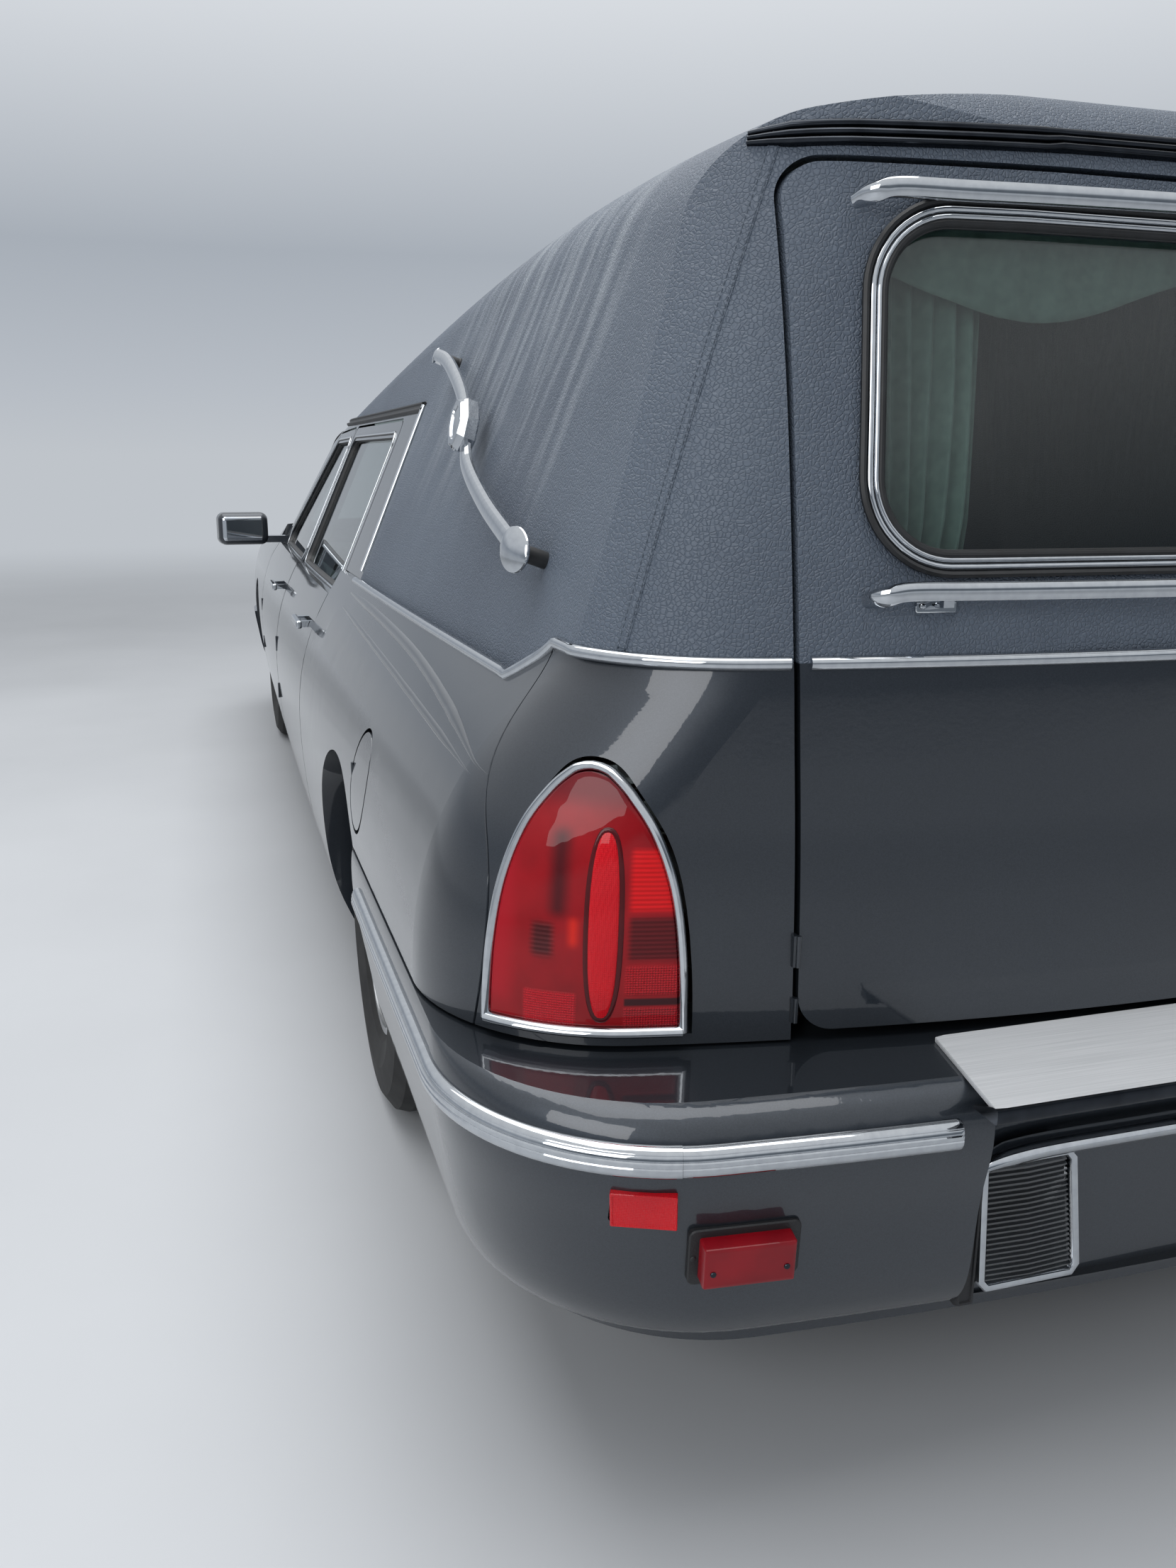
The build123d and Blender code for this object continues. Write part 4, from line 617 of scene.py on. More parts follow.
drip_bar = swept(drip_line, RIB_OUTLINE, scales=tapered(len(drip_line), 0.6, 0.2))
new_piece("load_door_drip_moulding", *drip_bar, dark_alloy, "body", "dark_steel")

# Landau irons: cast bars with a rolled bevel, an eight-sided medallion with a
# plain oval panel, and a domed disc; they stand on dark posts off the vinyl.
LANDAU_FRONT, LANDAU_REAR = Vector((-1.416, 0.667, 1.527)), Vector((-2.555, 0.771, 1.194))
LANDAU_STAND = 40
chord = (LANDAU_FRONT - LANDAU_REAR).normalized()
lift = Vector((0, 1, 0.36))
lift = (lift - chord * lift.dot(chord)).normalized()
drop = lift.cross(chord)


def on_iron(u, v, w):
    """A place on the left iron, in millimetres along, across and off the roof."""
    return (LANDAU_FRONT + LANDAU_REAR) / 2 + (chord * u + drop * v + lift * w) * MM


def along_edges(corners, shares):
    """Points at the given shares of each edge of a closed outline."""
    found = []
    for (xa, ya), (xb, yb) in zip(corners, corners[1:] + corners[:1]):
        found += [(xa + (xb - xa) * t, ya + (yb - ya) * t) for t in shares]
    return found


BAR_HALF = 594
BAR_POINTS = [(-BAR_HALF, 0), (-328, 27), (-100, 34), (0, 10), (60, -8), (200, -24), (432, -22),
              (BAR_HALF, 0)]
BAR_OUTLINE = [(-13, 0), (13, 0), (15, 2), (15, 7), (10.5, 12), (5, 13.6), (-5, 13.6), (-10.5, 12), (-15, 7),
               (-15, 2)]
bar = swept([(on_iron(u, v, LANDAU_STAND), lift) for u, v in smooth_line(BAR_POINTS, 110)], BAR_OUTLINE)
MEDAL_U, MEDAL_HALF, MEDAL_TURN = 30, (66, 37), radians(-16)
OCTAGON = [(-66, -15), (-30, -37), (30, -37), (66, -15), (66, 15), (30, 37), (-30, 37), (-66, 15)]
octagon = along_edges(OCTAGON, (0, 0.25, 0.5, 0.75))


def medal_ring(points, w):
    """A ring of the medallion, turned with the bar, at a height off the roof."""
    c, s = cos(MEDAL_TURN), sin(MEDAL_TURN)
    return [on_iron(MEDAL_U + u * c - v * s, u * s + v * c, w) for u, v in points]


def oval_ring(a, b, w):
    """An oval ring that starts in line with the octagon's first corner."""
    turns = [atan2(v / MEDAL_HALF[1], u / MEDAL_HALF[0]) for u, v in octagon]
    return medal_ring([(a * cos(turn), b * sin(turn)) for turn in turns], w)


levels = ((0.96, 0.94, 34), (1.0, 1.0, 37), (1.0, 1.0, 56), (0.90, 0.84, 66), (0.87, 0.78, 68))
rings = [medal_ring([(u * a, v * b) for u, v in octagon], w) for a, b, w in levels]
rings += [oval_ring(48, 22, 68), oval_ring(46, 20.5, 65), oval_ring(34, 14, 65.8), oval_ring(2, 1, 66.4)]
DISC = [(8, 42), (24, 43.5), (29, 46), (30, 48.5), (29, 51), (24, 54), (15, 57.4), (6, 59), (0.4, 59.4)]
CLIP = [(6, 42), (13, 43.5), (15, 46), (14, 49), (8, 51.5), (0.4, 52.4)]
POST = [(14, -14), (14, -4), (12, -2), (12, 39), (10, 43)]
disc_facing = (lift - chord * 0.42).normalized()
clip_facing = (lift + chord * 0.30).normalized()
disc = turned(on_iron(-BAR_HALF, 0, 48) - disc_facing * 0.048, disc_facing, DISC, 36, 1.15)
clip = turned(on_iron(BAR_HALF, 0, 46) - clip_facing * 0.046, clip_facing, CLIP, 28, 1.4)
posts = [turned(on_iron(u, 0, 0), lift, POST, 24) for u in (-BAR_HALF, BAR_HALF)]
irons = both_sides("landau_bars", [bar, skinned(rings), disc, clip], chrome, "body", "chrome", 22)
stubs = both_sides("landau_posts", posts, gasket, "body", "black_plastic")
for one in (irons, stubs):
    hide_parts("landau_irons")

# Step plate: brushed aluminium tread over the middle of the rear bumper, with
# an extruded strip along its edge. The brush lines run across the car.
tread = patterned("brushed_step_aluminium", dict(Scale=2.0, Detail=3.0), [(0.3, "D2D5D8"), (0.7, "E4E6E9")],
                  stretch=(260.0, 3.0, 260.0), Metallic=0.3, Roughness=0.5)[0]
STEP_FRONT_X, STEP_REAR_X, STEP_FRONT_HALF, STEP_REAR_HALF = -3.010, -3.190, 0.402, 0.436
STEP_CORNERS = [(STEP_FRONT_X, STEP_FRONT_HALF), (STEP_REAR_X, STEP_REAR_HALF),
                (STEP_REAR_X, -STEP_REAR_HALF), (STEP_FRONT_X, -STEP_FRONT_HALF)]
outline = along_edges(STEP_CORNERS, (0.015, 0.3, 0.7, 0.985))
middle = sum(x for x, _ in outline) / len(outline)
STEP_LEVELS = ((0.998, 0.6422), (1.0, 0.6428), (1.0, 0.6476), (0.997, 0.6484), (0.975, 0.6484))
rings = []
for grow, z in STEP_LEVELS:
    rings.append([Vector((middle + (x - middle) * grow, y * (1 - (1 - grow) * 0.4), z)) for x, y in outline])
step = new_piece("rear_step_plate", *skinned(rings), tread, "body", "bright_metal")
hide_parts("step_plate")
STRIP_MID_Z = 0.6410
step_edge = [(Vector((STEP_REAR_X, y, STRIP_MID_Z)), BACKWARD)
             for y in between(-STEP_REAR_HALF, STEP_REAR_HALF, 30)]
EDGE_OUTLINE = [(-10, -44), (6, -8), (7.4, 0), (6.5, 2.5), (3, 4), (-8, 4), (-11, 2), (-12, -40)]
new_piece("step_plate_edge_strip", *swept(step_edge, EDGE_OUTLINE), dark_alloy, "body", "dark_steel")

# Shoulder creases: two pressed lines run back along each quarter panel above the
# wheel and die out before the lamp. Each: (x, z) knots, width, height in mm.
quarter_face = outside("quarter_panels")
CREASES = [([(-1.19, 1.020), (-1.70, 1.014), (-2.10, 1.002), (-2.45, 0.978), (-2.74, 0.946)], 20, 3.2),
           ([(-1.19, 0.986), (-1.70, 0.972), (-2.10, 0.960), (-2.45, 0.948), (-2.70, 0.938)], 13, 2.0)]
pressed = []
for knots, width, rise in CREASES:
    line = laid(quarter_face, [from_left(x, z) for x, z in smooth_line(knots, 90)])
    pressed.append(swept(line, bead(width, rise, 0.5, 10, 1.4), scales=tapered(len(line), 0.04, 0.05, 8)))
both_sides("quarter_shoulder_creases", pressed, paint, "body", "paint", 50)

# Body side closers: the pressed strip between each rear door and the quarter
# panel, and the painted sheet that closes the bumper's shelf at its corners.
CLOSER_X, CLOSER_Z, CLOSER_T = (-0.9392, -0.8702), (0.236, 1.0435), 0.012
NEAR_X, FAR_X = -0.946, -1.006
columns = []
for z in between(*CLOSER_Z, 40):
    near, far = (land(quarter_face, *from_left(x, z)) for x in (NEAR_X, FAR_X))
    if near and far:
        slope = (near[0].y - far[0].y) / (NEAR_X - FAR_X)
        (xa, ya), (xb, yb) = ((x, near[0].y + slope * (x - NEAR_X)) for x in CLOSER_X)
        strip_section = ((xa, ya), (xb, yb), (xb, yb - CLOSER_T), (xa, ya - CLOSER_T))
        columns.append([Vector((x, y, z)) for x, y in strip_section])
both_sides("quarter_front_closers", [skinned(columns)], paint, "body", "paint")
SHELF_EDGE = [(-2.905, 0.800), (-2.905, 0.930), (-2.870, 0.946), (-2.830, 0.957), (-2.790, 0.961),
              (-2.600, 0.965), (-2.600, 0.800)]
SHELF_Z = (0.6335, 0.6415)
sheets = [[Vector((x, y, z)) for x, y in SHELF_EDGE] for z in SHELF_Z]
both_sides("bumper_corner_closers", [skinned(sheets)], paint, "body", "paint")

# Tail lamps: a deep red acrylic lens over darker and brighter chambers, prism
# fields and ribs, with a long oval insert in a dark channel down its middle, and a
# painted highlight, a brighter red band, down the lens' left edge.
MOULDED_DEEP, LENS_GAP = 0.013, 0.001


def lens_material(name, base):
    """Red acrylic under a clear face; base gives its body colour."""
    made, tree, shader, where = material(name, Roughness=0.4, Specular_IOR_Level=0.1, Coat_Weight=1.0,
                                         Coat_Roughness=0.01, Coat_IOR=1.32)
    glow = add(tree, "TexNoise", [("Vector", where)], Scale=14.0, Detail=3.0)
    body = add(tree, "ValToRGB", [("Fac", glow)], base)
    join(tree, shader, [("Base Color", body)])
    return made, tree, shader, where, body


# Each row: across from and to, height from and to, softness of its edges, colour.
# The first row is a painted highlight, a brighter red band down the lens' left edge;
# the other rows are the lens' chambers.
LENS_CHAMBERS_AND_HIGHLIGHT = [(-0.140, -0.072, 0.68, 0.93, 0.030, "A8061A"), (-0.050, -0.006, 0.795, 0.920, 0.022, "4E030D"),
            (-0.066, -0.026, 0.750, 0.804, 0.014, "4A0309"), (-0.020, 0.004, 0.765, 0.812, 0.014, "D8200F"),
            (-0.140, 0.140, 0.925, 1.000, 0.030, "6E0312"), (0.052, 0.150, 0.812, 0.895, 0.010, "DA0B12"),
            (0.052, 0.150, 0.752, 0.814, 0.010, "5A040C"), (0.052, 0.150, 0.712, 0.752, 0.006, "B8081A"),
            (0.052, 0.150, 0.699, 0.711, 0.003, "36020A"), (0.052, 0.150, 0.664, 0.699, 0.003, "A80618"),
            (-0.070, 0.000, 0.670, 0.716, 0.006, "C80B20")]
red_lens, tree, shader, where, body = lens_material("red_acrylic_lens", [(0.3, "85040F"), (0.7, "A00614")])
place = add(tree, "SeparateXYZ", [("Vector", where)])
height = place.outputs["Z"]
off_middle = add(tree, "Math", [(0, place.outputs["Y"])], operation="ABSOLUTE")
across = -LAMP_MID.dot(lamp_across)
for way, share in ((place.outputs["X"], lamp_across.x), (off_middle, lamp_across.y)):
    across = add(tree, "Math", [(0, way), (1, share), (2, across)], operation="MULTIPLY_ADD")
masks = []
for a0, a1, z0, z1, soft, colour in LENS_CHAMBERS_AND_HIGHLIGHT:
    masks.append(within(tree, [(across, a0, a0 + soft), (across, a1, a1 - soft),
                               (height, z0, z0 + soft), (height, z1, z1 - soft)]))
    laid_on = add(tree, "Mix", data_type="RGBA")
    join(tree, laid_on, [("Factor", masks[-1]), (6, body), (7, srgb(colour))])
    body = laid_on.outputs[2]
face = add(tree, "CombineXYZ", [("X", across), ("Y", height)])
prism = add(tree, "TexVoronoi", [("Vector", face)], Scale=330.0, Randomness=0.15)
rib_turn = add(tree, "Math", [(0, height), (1, 1150.0)], operation="MULTIPLY")
rib = add(tree, "Math", [(0, rib_turn)], operation="SINE")
# Relief of the lens: its pattern, its strength and the chambers that carry it
RELIEFS = [(prism, 2.4, (7, 9, 10)), (rib, 0.35, (5, 6, 2))]
relief = 0.0
for pattern, strength, carriers in RELIEFS:
    field = masks[carriers[0]]
    for n in carriers[1:]:
        field = add(tree, "Math", [(0, field), (1, masks[n])], operation="MAXIMUM")
    carried = add(tree, "Math", [(0, pattern), (1, field)], operation="MULTIPLY")
    relief = add(tree, "Math", [(0, carried), (1, strength), (2, relief)], operation="MULTIPLY_ADD")
prism_bump = add(tree, "Bump", [("Height", relief)], Strength=0.9, Distance=0.0016)
join(tree, shader, [("Base Color", body), ("Normal", prism_bump)])
lens_skin = outside("tail_lamps")
IN_HALF, IN_LOW = LAMP_HALF - MOULDED_DEEP - LENS_GAP, LAMP_LOW + MOULDED_DEEP + LENS_GAP
IN_TALL = TALL - 2 * MOULDED_DEEP - 2 * LENS_GAP


def lens_point(a, z, lift_off=0.0):
    """A point of the left lens' face at (across, height), raised by some millimetres."""
    point, normal = land(lens_skin, *lamp_shot(a, z))
    return point + normal * (lift_off * MM)


border = [(w * IN_HALF, IN_LOW + t * IN_TALL) for w, t in arch]
border += [(a, IN_LOW) for a in between(IN_HALF, -IN_HALF, 26)[1:-1]]
HEART_SHARE = 0.42
heart_z = IN_LOW + HEART_SHARE * IN_TALL
# The lens from its edge to its heart: share of the outline, millimetres off the lamp
LENS_LEVELS = [(0.995, -12), (0.995, 0.6), (0.985, 1.4)]
LENS_LEVELS += [(grow, 1.6) for grow in (0.95, 0.85, 0.7, 0.55, 0.4, 0.2, 0.02)]
rings = [[lens_point(a * grow, heart_z + (z - heart_z) * grow, off) for a, z in border]
         for grow, off in LENS_LEVELS]
lenses = both_sides("tail_lamp_lenses", [skinned(rings)], red_lens, "body", "red_lens", 60)
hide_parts("tail_lamps")
OVAL_AT, OVAL_HALF = (0.027, 0.797), (0.0175, 0.112)
OVAL_STEPS, OVAL_POWER = 44, 0.78


def oval_on_lens(levels):
    """The long oval that follows the lens; a level is (scale, added width, millimetres off the lens)."""
    rings = []
    for scale, wider, off in levels:
        ring = []
        for i in range(OVAL_STEPS):
            t = 2 * pi * i / OVAL_STEPS
            blunt = [copysign(abs(c) ** OVAL_POWER, c) for c in (cos(t), sin(t))]
            ring.append(lens_point(*(at + b * (half * scale + wider * MM)
                                     for at, b, half in zip(OVAL_AT, blunt, OVAL_HALF)), off))
        rings.append(ring)
    return skinned(rings)


channel_red = lens_material("dark_red_lens_channel", [(0.3, "420309"), (0.7, "56050E")])[0]
insert_red, tree, shader, where, _ = lens_material("prismatic_red_insert", [(0.3, "C4081A"), (0.7, "D80D1C")])
cube_corner = add(tree, "TexVoronoi", [("Vector", where)], Scale=420.0, Randomness=0.1)
cube_bump = add(tree, "Bump", [("Height", cube_corner)], Strength=0.8, Distance=0.0012)
join(tree, shader, [("Normal", cube_bump)])
CHANNEL_LEVELS = [(1, 6.0, 0.4), (1, 5.5, 2.2), (1, 4.5, 2.8), (1, 2, 2.8)]
CHANNEL_LEVELS += [(scale, 0, 2.2) for scale in (0.8, 0.4, 0.02)]
INSERT_LEVELS = [(1, 0, 2.0), (1, -0.5, 3.6), (0.93, 0, 4.4)]
INSERT_LEVELS += [(scale, 0, 4.7) for scale in (0.75, 0.45, 0.2, 0.02)]
both_sides("tail_lamp_channels", [oval_on_lens(CHANNEL_LEVELS)], channel_red, "body", "red_lens", 60)
both_sides("tail_lamp_inserts", [oval_on_lens(INSERT_LEVELS)], insert_red, "body", "red_lens", 60)

# Bumper lamps: a stuck-on reflector, a boxy fog lamp on a black base plate with
# its screws, and a ribbed reversing lamp under a bright hood on each side.
bumper_face = outside("rear_bumper", "bumper_lamps")
RECESS_X, REFLECTOR_AT, FOG_AT = -3.058, (0.804, 0.527), (0.688, 0.464)


def on_bumper(y, z):
    """The rear bumper's face at (left, up)."""
    return land(bumper_face, (-3.5, y, z), (1, 0, 0))


spot, facing = on_bumper(*REFLECTOR_AT)
reflector = plate(spot, facing, UPWARD, (37.5, 24.5), 2,
                  [(0, -6), (0, 2.4), (-0.8, 3.2), (-3.0, 3.2), (-3.6, 2.4), (-5, 2.4)])
reflectors = both_sides("bumper_reflectors", [reflector], insert_red, "body", "red_lens")
spot, facing = on_bumper(*FOG_AT)
base_plate = plate(spot, facing, UPWARD, (66, 37), 9, [(0, -6), (0, 2.6), (-1.5, 4.2)])
across_way = UPWARD.cross(facing).normalized()
screws = [turned(spot + across_way * x + facing * 0.0040, facing, SCREW, 14) for x in (-0.0605, 0.0605)]
fog_bases = both_sides("fog_lamp_bases", [base_plate] + screws, black_plastic, "body", "black_plastic")
fog_red = lens_material("dark_red_fog_lens", [(0.3, "7A0413"), (0.7, "920617")])[0]
box_lens = plate(spot, facing, UPWARD, (54, 27), 3, [(0, 2), (0, 23), (-1.2, 25), (-4, 26), (-6, 26)])
fog_lenses = both_sides("fog_lamp_lenses", [box_lens], fog_red, "body", "red_lens")
lens_screws = [turned(spot + across_way * x - UPWARD * 0.006 + facing * 0.0256, facing, SCREW, 12)
               for x in (-0.043, 0.043)]
both_sides("fog_lamp_screws", lens_screws, dark_alloy, "body", "dark_steel")

smoked = patterned("smoked_reversing_lens", dict(Scale=11.0, Detail=3.0), [(0.3, "202326"), (0.7, "34383C")],
                   Roughness=0.12, Coat_Weight=1.0)[0]
REVERSE = [(0.212, 0.330), (0.352, 0.330), (0.362, 0.505), (0.236, 0.505)]
RIBS, RIB_RISE, LENS_PROUD = 22, 0.0035, 0.016
# The lens' inner edge, outer edge and height: at its foot, and what its top adds
LENS_EDGES = ((0.220, 0.024), (0.345, 0.010), (0.337, 0.161))
BACK_X = RECESS_X + 0.002
rows = []
for i in range(RIBS * 4 + 1):
    t = i / (RIBS * 4)
    face_x = RECESS_X - (LENS_PROUD + RIB_RISE * (i % 4 in (1, 2)))
    low_y, high_y, z = (foot + more * t for foot, more in LENS_EDGES)
    crown = (face_x - 0.003, (low_y + high_y) / 2)
    row = ((BACK_X, high_y), (face_x, high_y), crown, (face_x, low_y), (BACK_X, low_y))
    rows.append([Vector((x, y, z)) for x, y in row])
reversing = both_sides("reversing_lamp_lenses", [skinned(rows)], smoked, "body", "glass", 20)
corners = along_edges(REVERSE, (0.06, 0.2, 0.5, 0.8, 0.94))
frame_line = [(Vector((RECESS_X - 0.010, y, z)), BACKWARD) for y, z in corners]
FRAME_OUTLINE = [(-6, -12), (6, -12), (6, 10), (4, 13), (0, 14), (-4, 13), (-6, 10)]
frames = both_sides("reversing_lamp_frames", [swept(frame_line, FRAME_OUTLINE, True)], chrome,
                    "body", "chrome")
HOOD_HALF, HOOD_Z = 0.380, 0.519
hood_line = []
for y in between(-HOOD_HALF, HOOD_HALF, 60):
    share = y / HOOD_HALF
    x, z = RECESS_X - 0.024 + 0.012 * share ** 8, HOOD_Z - 0.032 * share ** 10
    hood_line.append((Vector((x, y, z)), BACKWARD))
HOOD_OUTLINE = [(-12, -13), (12, -13), (13, -4), (12, 5), (8, 11), (2, 14), (-4, 13), (-9, 9), (-12, 3),
                (-13, -5)]
hood = swept(hood_line, HOOD_OUTLINE, scales=tapered(len(hood_line), 0.45, 0.14))
new_piece("rear_lamp_hood_bar", *hood, chrome, "body", "chrome")
for one in (reflectors, fog_bases, fog_lenses, reversing, frames):
    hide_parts("bumper_lamps")
CHEEK_LEVELS = [(0, -1), (0, 26), (-3, 31), (-6, 31), (-7, 29)]
cheek = plate((RECESS_X, 0.380, 0.455), BACKWARD, UPWARD, (14, 138), 6, CHEEK_LEVELS)
both_sides("bumper_recess_cheeks", [cheek], black_plastic, "body", "black_plastic")

# Head lamps: clear moulded covers over bright reflectors; their flutes, 8 mm
# apart along the car, are drawn by the pattern and its relief.
clear_lens = patterned("clear_lamp_glass", dict(Scale=40.0), [(0.3, "C8CCD0"), (0.7, "E6E8EA")],
                       kind="TexWave", bump=(0.3, 0.002), Roughness=0.08, Transmission_Weight=0.5)[0]
finish_all(["headlamps"], clear_lens)

# Door handles and mirrors: chromed die-cast pulls, and mirror glass in the
# painted housings. The CAD faces keep their place and take a second finish.
mirror_glass = patterned("silvered_mirror_glass", dict(Scale=5.0), [(0.3, "B9BEC4"), (0.7, "CDD2D8")],
                         Metallic=1.0, Roughness=0.02)[0]


def recolour(name, look, chosen):
    """Gives another material to the faces that chosen(centre, normal) picks."""
    mesh = nodes[name].data
    mesh.materials.append(look)
    index = len(mesh.materials) - 1
    for polygon in mesh.polygons:
        if chosen(polygon.center, polygon.normal):
            polygon.material_index = index


def on_handle(c, n):
    """Whether a face belongs to a door pull."""
    return abs(c.y) > 0.957 and 0.884 < c.z < 0.916 and (0.2 < c.x < 0.37 or -0.84 < c.x < -0.66)


def on_mirror(c, n):
    """Whether a face is a mirror's glass, which looks backwards."""
    return abs(c.y) > 0.975 and 0.985 < c.z < 1.107 and n.x < -0.9


for name in DOORS:
    recolour(name, chrome, on_handle)
    recolour(name, mirror_glass, on_mirror)

# Rear window curtains: grey-green pleated cloth gathered on a brass rod, with a
# plain pelmet cut in two shallow swags across the top.
curtain_cloth = patterned("pleated_curtain_cloth", dict(Scale=60.0, Detail=4.0),
                          [(0.3, "6F837C"), (0.7, "839790")], Roughness=0.9, Sheen_Weight=0.3)[0]
brass = patterned("lacquered_brass", dict(Scale=25.0, Detail=4.0), [(0.3, "9A8250"), (0.75, "B59B62")],
                  Metallic=1.0, Roughness=0.25)[0]
pane_skin = outside("load_door_glass")
ROD_Z, HEM_Z, CURTAIN_CLEAR, CLOTH_THICK = 1.606, 1.212, 0.046, 0.0012


def behind_pane(y, z):
    """The x of a cloth that hangs CURTAIN_CLEAR inside the rear window."""
    seen_y, seen_z = min(max(y, -0.40), 0.40), min(max(z, 1.26), 1.56)
    point, _ = land(pane_skin, (-2.5, seen_y, seen_z), BACKWARD)
    return point.x + CURTAIN_CLEAR


def run_length(points):
    """How long a line of points is."""
    return sum((q - p).length for p, q in zip(points, points[1:]))


def hung_cloth(name, columns, rows, place):
    """A sheet from place(u, v) with u across and v down, both from 0 to 1; it is given its thickness here."""
    verts = [place(u, v) for v in between(0, 1, rows) for u in between(0, 1, columns)]
    faces = [(r * columns + c, r * columns + c + 1, (r + 1) * columns + c + 1, (r + 1) * columns + c)
             for r in range(rows - 1) for c in range(columns - 1)]
    made = new_piece(name, verts, faces, curtain_cloth, "load_door", "seat_cloth", 80)
    thick = made.modifiers.new("cloth_thickness", "SOLIDIFY")
    thick.thickness = CLOTH_THICK


rod_x, ROD_HALF, ROD_RADIUS = behind_pane(0, ROD_Z), 0.515, 5
rod = swept([(Vector((rod_x, y, ROD_Z)), Vector((1, 0, 0))) for y in between(-ROD_HALF, ROD_HALF, 12)],
            [(ROD_RADIUS * cos(t), ROD_RADIUS * sin(t)) for t in between(0, 2 * pi, 13)[:-1]])
FINIAL = [(5, -6), (8, -3), (9, 2), (6, 7), (0.5, 9)]
finials = [turned((rod_x, side * ROD_HALF, ROD_Z), (0, side, 0), FINIAL, 16) for side in (1, -1)]
new_piece("rear_curtain_rod", *merged([rod] + finials), brass, "load_door", "bright_metal")
PLEATS, PLEAT_DEEP, CURTAIN_HEAD, CURTAIN_LONG = 7, 0.011, 0.012, 0.406
CURTAIN_INNER, CURTAIN_OUTER, HEM_NARROWS = 0.290, 0.478, 0.030
for side, word in ((1, "left"), (-1, "right")):
    def pleated(u, v, side=side):
        """A gathered curtain that narrows a little towards its hem."""
        inner = CURTAIN_INNER + HEM_NARROWS * v ** 2
        y = inner + (CURTAIN_OUTER - inner) * u
        z = ROD_Z + CURTAIN_HEAD + (HEM_Z - ROD_Z - CURTAIN_HEAD) * v
        wave = sin(2 * pi * PLEATS * u + 0.7 * sin(3.1 * v + u * 4))
        wave += 0.35 * sin(5.3 * pi * u + 2 * v)
        return Vector((behind_pane(side * y, z) + 0.006 + PLEAT_DEEP * (0.75 + 0.25 * v) * wave, side * y, z))

    cut = run_length([pleated(u, 0.5) for u in between(0, 1, 120)])
    hung_cloth("rear_curtain_" + word, 120, 26, pleated)
PELMET_HEAD, PELMET_LONG, PELMET_HALF = 0.014, 0.125, 0.47
PELMET_DROP, SWAG_DROP = 0.070, 0.055


def swag(u, v):
    """A pelmet whose lower edge hangs in two shallow curves."""
    y = PELMET_HALF - 2 * PELMET_HALF * u
    low = PELMET_DROP + SWAG_DROP * abs(sin(2 * pi * u)) ** 1.5
    z = ROD_Z + PELMET_HEAD - low * v
    return Vector((behind_pane(y, z) - 0.020 + 0.0035 * sin(26 * pi * u) * (1 - 0.6 * v), y, z))


wide = run_length([swag(u, 0) for u in between(0, 1, 180)])
hems = [swag(u, 1).z for u in between(0, 1, 61)]
hung_cloth("rear_window_pelmet", 180, 12, swag)

# Seats: foam under woven cloth, swollen by a pressure simulation from the CAD
# form, so that the cushions crown and their sides pull in. The weave's checks
# are about 1.4 mm wide.
seat_cloth = patterned("woven_seat_cloth", dict(Scale=700.0), [(0.0, "26282C"), (1.0, "33363B")],
                       kind="TexChecker", Roughness=0.9, Sheen_Weight=0.25)[0]
finish_all(["front_seats"], seat_cloth)
SEAT_VOXEL, SEAT_SHRINK, SEAT_CAP = 0.014, 0.008, 0.026
seat_mesh = nodes["front_seats"].data.copy()
seat = bpy.data.objects.new("padded_front_seats", seat_mesh)
bpy.context.scene.collection.objects.link(seat)
bpy.context.view_layer.objects.active = seat
shrink = bmesh.new()
shrink.from_mesh(seat_mesh)
bmesh.ops.remove_doubles(shrink, verts=shrink.verts, dist=1e-5)
shrink.normal_update()
for vert in shrink.verts:
    vert.co -= vert.normal * SEAT_SHRINK
shrink.to_mesh(seat_mesh)
shrink.free()
remesh = seat.modifiers.new("remesh", "REMESH")
remesh.mode, remesh.voxel_size = "VOXEL", SEAT_VOXEL


def settle(obj):
    """Applies every modifier of a piece to its mesh."""
    graph = bpy.context.evaluated_depsgraph_get()
    done = bpy.data.meshes.new_from_object(obj.evaluated_get(graph))
    obj.modifiers.clear()
    obj.data = done


settle(seat)
rest = [v.co.copy() for v in seat.data.vertices]
cloth = seat.modifiers.new("cloth", "CLOTH")
cloth.settings.use_pressure = True
cloth.settings.uniform_pressure_force = 4.0
cloth.settings.effector_weights.gravity = 0.0
cloth.settings.quality = 4
for step in range(1, 21):
    bpy.context.scene.frame_set(step)
settle(seat)
for vert, start in zip(seat.data.vertices, rest):
    move = vert.co - start
    if move.length > SEAT_CAP:
        vert.co = start + move.normalized() * SEAT_CAP
bpy.context.scene.frame_set(1)
seat.modifiers.new("finer", "SUBSURF").levels = 1
settle(seat)
seat.data.materials.clear()
seat.data.materials.append(seat_cloth)
seat.data.polygons.foreach_set("use_smooth", [True] * len(seat.data.polygons))
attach(seat, "body")
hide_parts("front_seats")

# Studio: a pale floor that runs into a pale sky, a soft overhead light and a
# smaller one at the left rear. The metal mirrors a darker band low in the sky.
HORIZON, REACH = "BFC4CA", 40.0
FADE_FROM, FADE_TO = 5.0, 17.0
floor_mesh = bpy.data.meshes.new("studio_floor")
floor_mesh.from_pydata([(-REACH, -REACH, 0), (REACH, -REACH, 0), (REACH, REACH, 0), (-REACH, REACH, 0)], [],
                       [(0, 1, 2, 3)])
floor = bpy.data.objects.new("studio_floor", floor_mesh)
bpy.context.scene.collection.objects.link(floor)
floor_paint, tree, shader, where = material("pale_studio_floor", Roughness=0.65)
mottle = add(tree, "TexNoise", [("Vector", where)], Scale=0.7, Detail=4.0)
pale = add(tree, "ValToRGB", [("Fac", mottle)], [(0.3, "C2C5C9"), (0.7, "CBCED2")])
join(tree, shader, [("Base Color", pale)])
far_off = add(tree, "VectorMath", [(0, where)], operation="LENGTH").outputs["Value"]
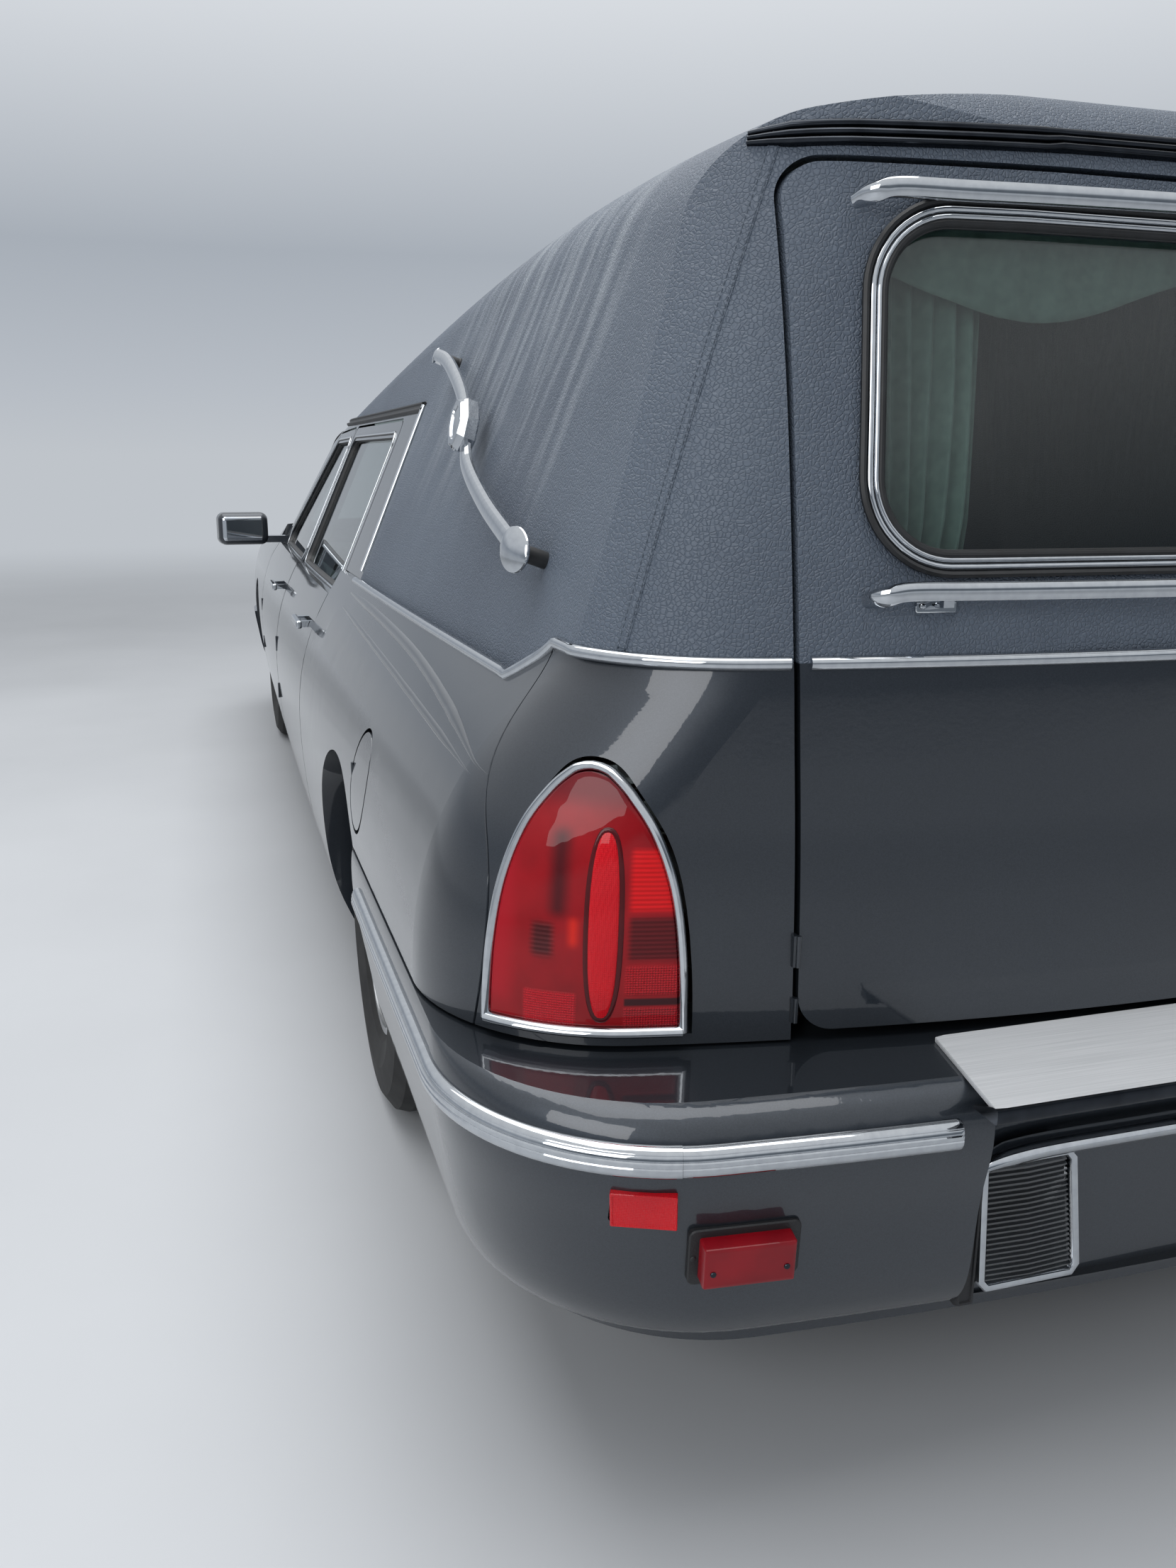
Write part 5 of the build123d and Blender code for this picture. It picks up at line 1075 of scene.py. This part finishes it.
haze_light = add(tree, "Emission", [("Color", srgb(HORIZON))], Strength=1.0)
hazy = within(tree, [(far_off, FADE_FROM, FADE_TO)])
blended = add(tree, "MixShader", [("Fac", hazy), (1, shader), (2, haze_light)])
join(tree, tree.nodes["Material Output"], [("Surface", blended)])
floor_mesh.materials.append(floor_paint)

world = bpy.data.worlds.new("studio_sky")
bpy.context.scene.world = world
world.use_nodes = True
sky = world.node_tree
aim = add(sky, "TexCoord").outputs["Generated"]
way = add(sky, "SeparateXYZ", [("Vector", aim)])
HIGH_SKY = [(0.8, "F4F6F8")]
shell = add(sky, "ValToRGB", [("Fac", way.outputs["Z"])],
            [(0.0, HORIZON), (0.05, "B6BCC4"), (0.14, "A7AEB7"), (0.32, "DDE1E6")] + HIGH_SKY)
yard = add(sky, "ValToRGB", [("Fac", way.outputs["Z"])],
           [(0.0, HORIZON), (0.05, "6A7179"), (0.20, "7A8189"), (0.34, "DDE1E6")] + HIGH_SKY)
round_about = add(sky, "Mix", data_type="RGBA")
join(sky, round_about, [("Factor", within(sky, [(way.outputs["X"], -0.1, -0.7)])), (6, shell), (7, yard)])
rays = add(sky, "LightPath")
seen = rays.outputs["Is Camera Ray"]
for other in ("Is Glossy Ray", "Is Transmission Ray"):
    seen = add(sky, "Math", [(0, seen), (1, rays.outputs[other])], operation="MAXIMUM").outputs[0]
strength = add(sky, "MapRange", [("Value", seen), ("To Min", 0.5), ("To Max", 1.0)])
join(sky, sky.nodes["Background"], [("Color", round_about.outputs[2]), ("Strength", strength)])


def soft_light(name, place, target, size, power):
    """A large rectangular area light that faces a point of the object."""
    lamp = bpy.data.lights.new(name, "AREA")
    lamp.shape = "RECTANGLE"
    lamp.size, lamp.size_y = size
    lamp.energy = power
    made = bpy.data.objects.new(name, lamp)
    made.location = place
    made.rotation_mode = "QUATERNION"
    made.rotation_quaternion = (Vector(target) - Vector(place)).to_track_quat("-Z", "Y")
    bpy.context.scene.collection.objects.link(made)


soft_light("overhead", (-1.0, 1.0, 6.5), (-1.0, 0.0, 0.8), (9.0, 6.0), 420.0)
soft_light("left_rear", (-6.5, 5.0, 3.4), (-2.2, 0.4, 0.9), (4.0, 3.0), 130.0)

# Camera: held at about chest height behind the left rear corner, looking
# forward along the side and a little down.
CAMERA_AT = (-4.264, 1.230, 1.332)
YAW, PITCH, ROLL = (radians(a) for a in (16.92, 14.33, 0.46))
SENSOR, LENS_OVER_LONG_SIDE = 36.0, 0.814
camera_data = bpy.data.cameras.new("camera")
camera_data.sensor_fit = "AUTO"
camera_data.sensor_width = SENSOR
camera_data.lens = SENSOR * LENS_OVER_LONG_SIDE
camera = bpy.data.objects.new("camera", camera_data)
forward = Vector((cos(YAW) * cos(PITCH), -sin(YAW) * cos(PITCH), -sin(PITCH)))
right = Vector((-sin(YAW), -cos(YAW), 0))
up = right.cross(forward)
right, up = right * cos(ROLL) + up * sin(ROLL), up * cos(ROLL) - right * sin(ROLL)
turn = Matrix((right, up, -forward)).transposed()
camera.matrix_world = Matrix.Translation(CAMERA_AT) @ turn.to_4x4()
bpy.context.scene.collection.objects.link(camera)
bpy.context.scene.camera = camera
bpy.context.scene.view_settings.view_transform = "Standard"
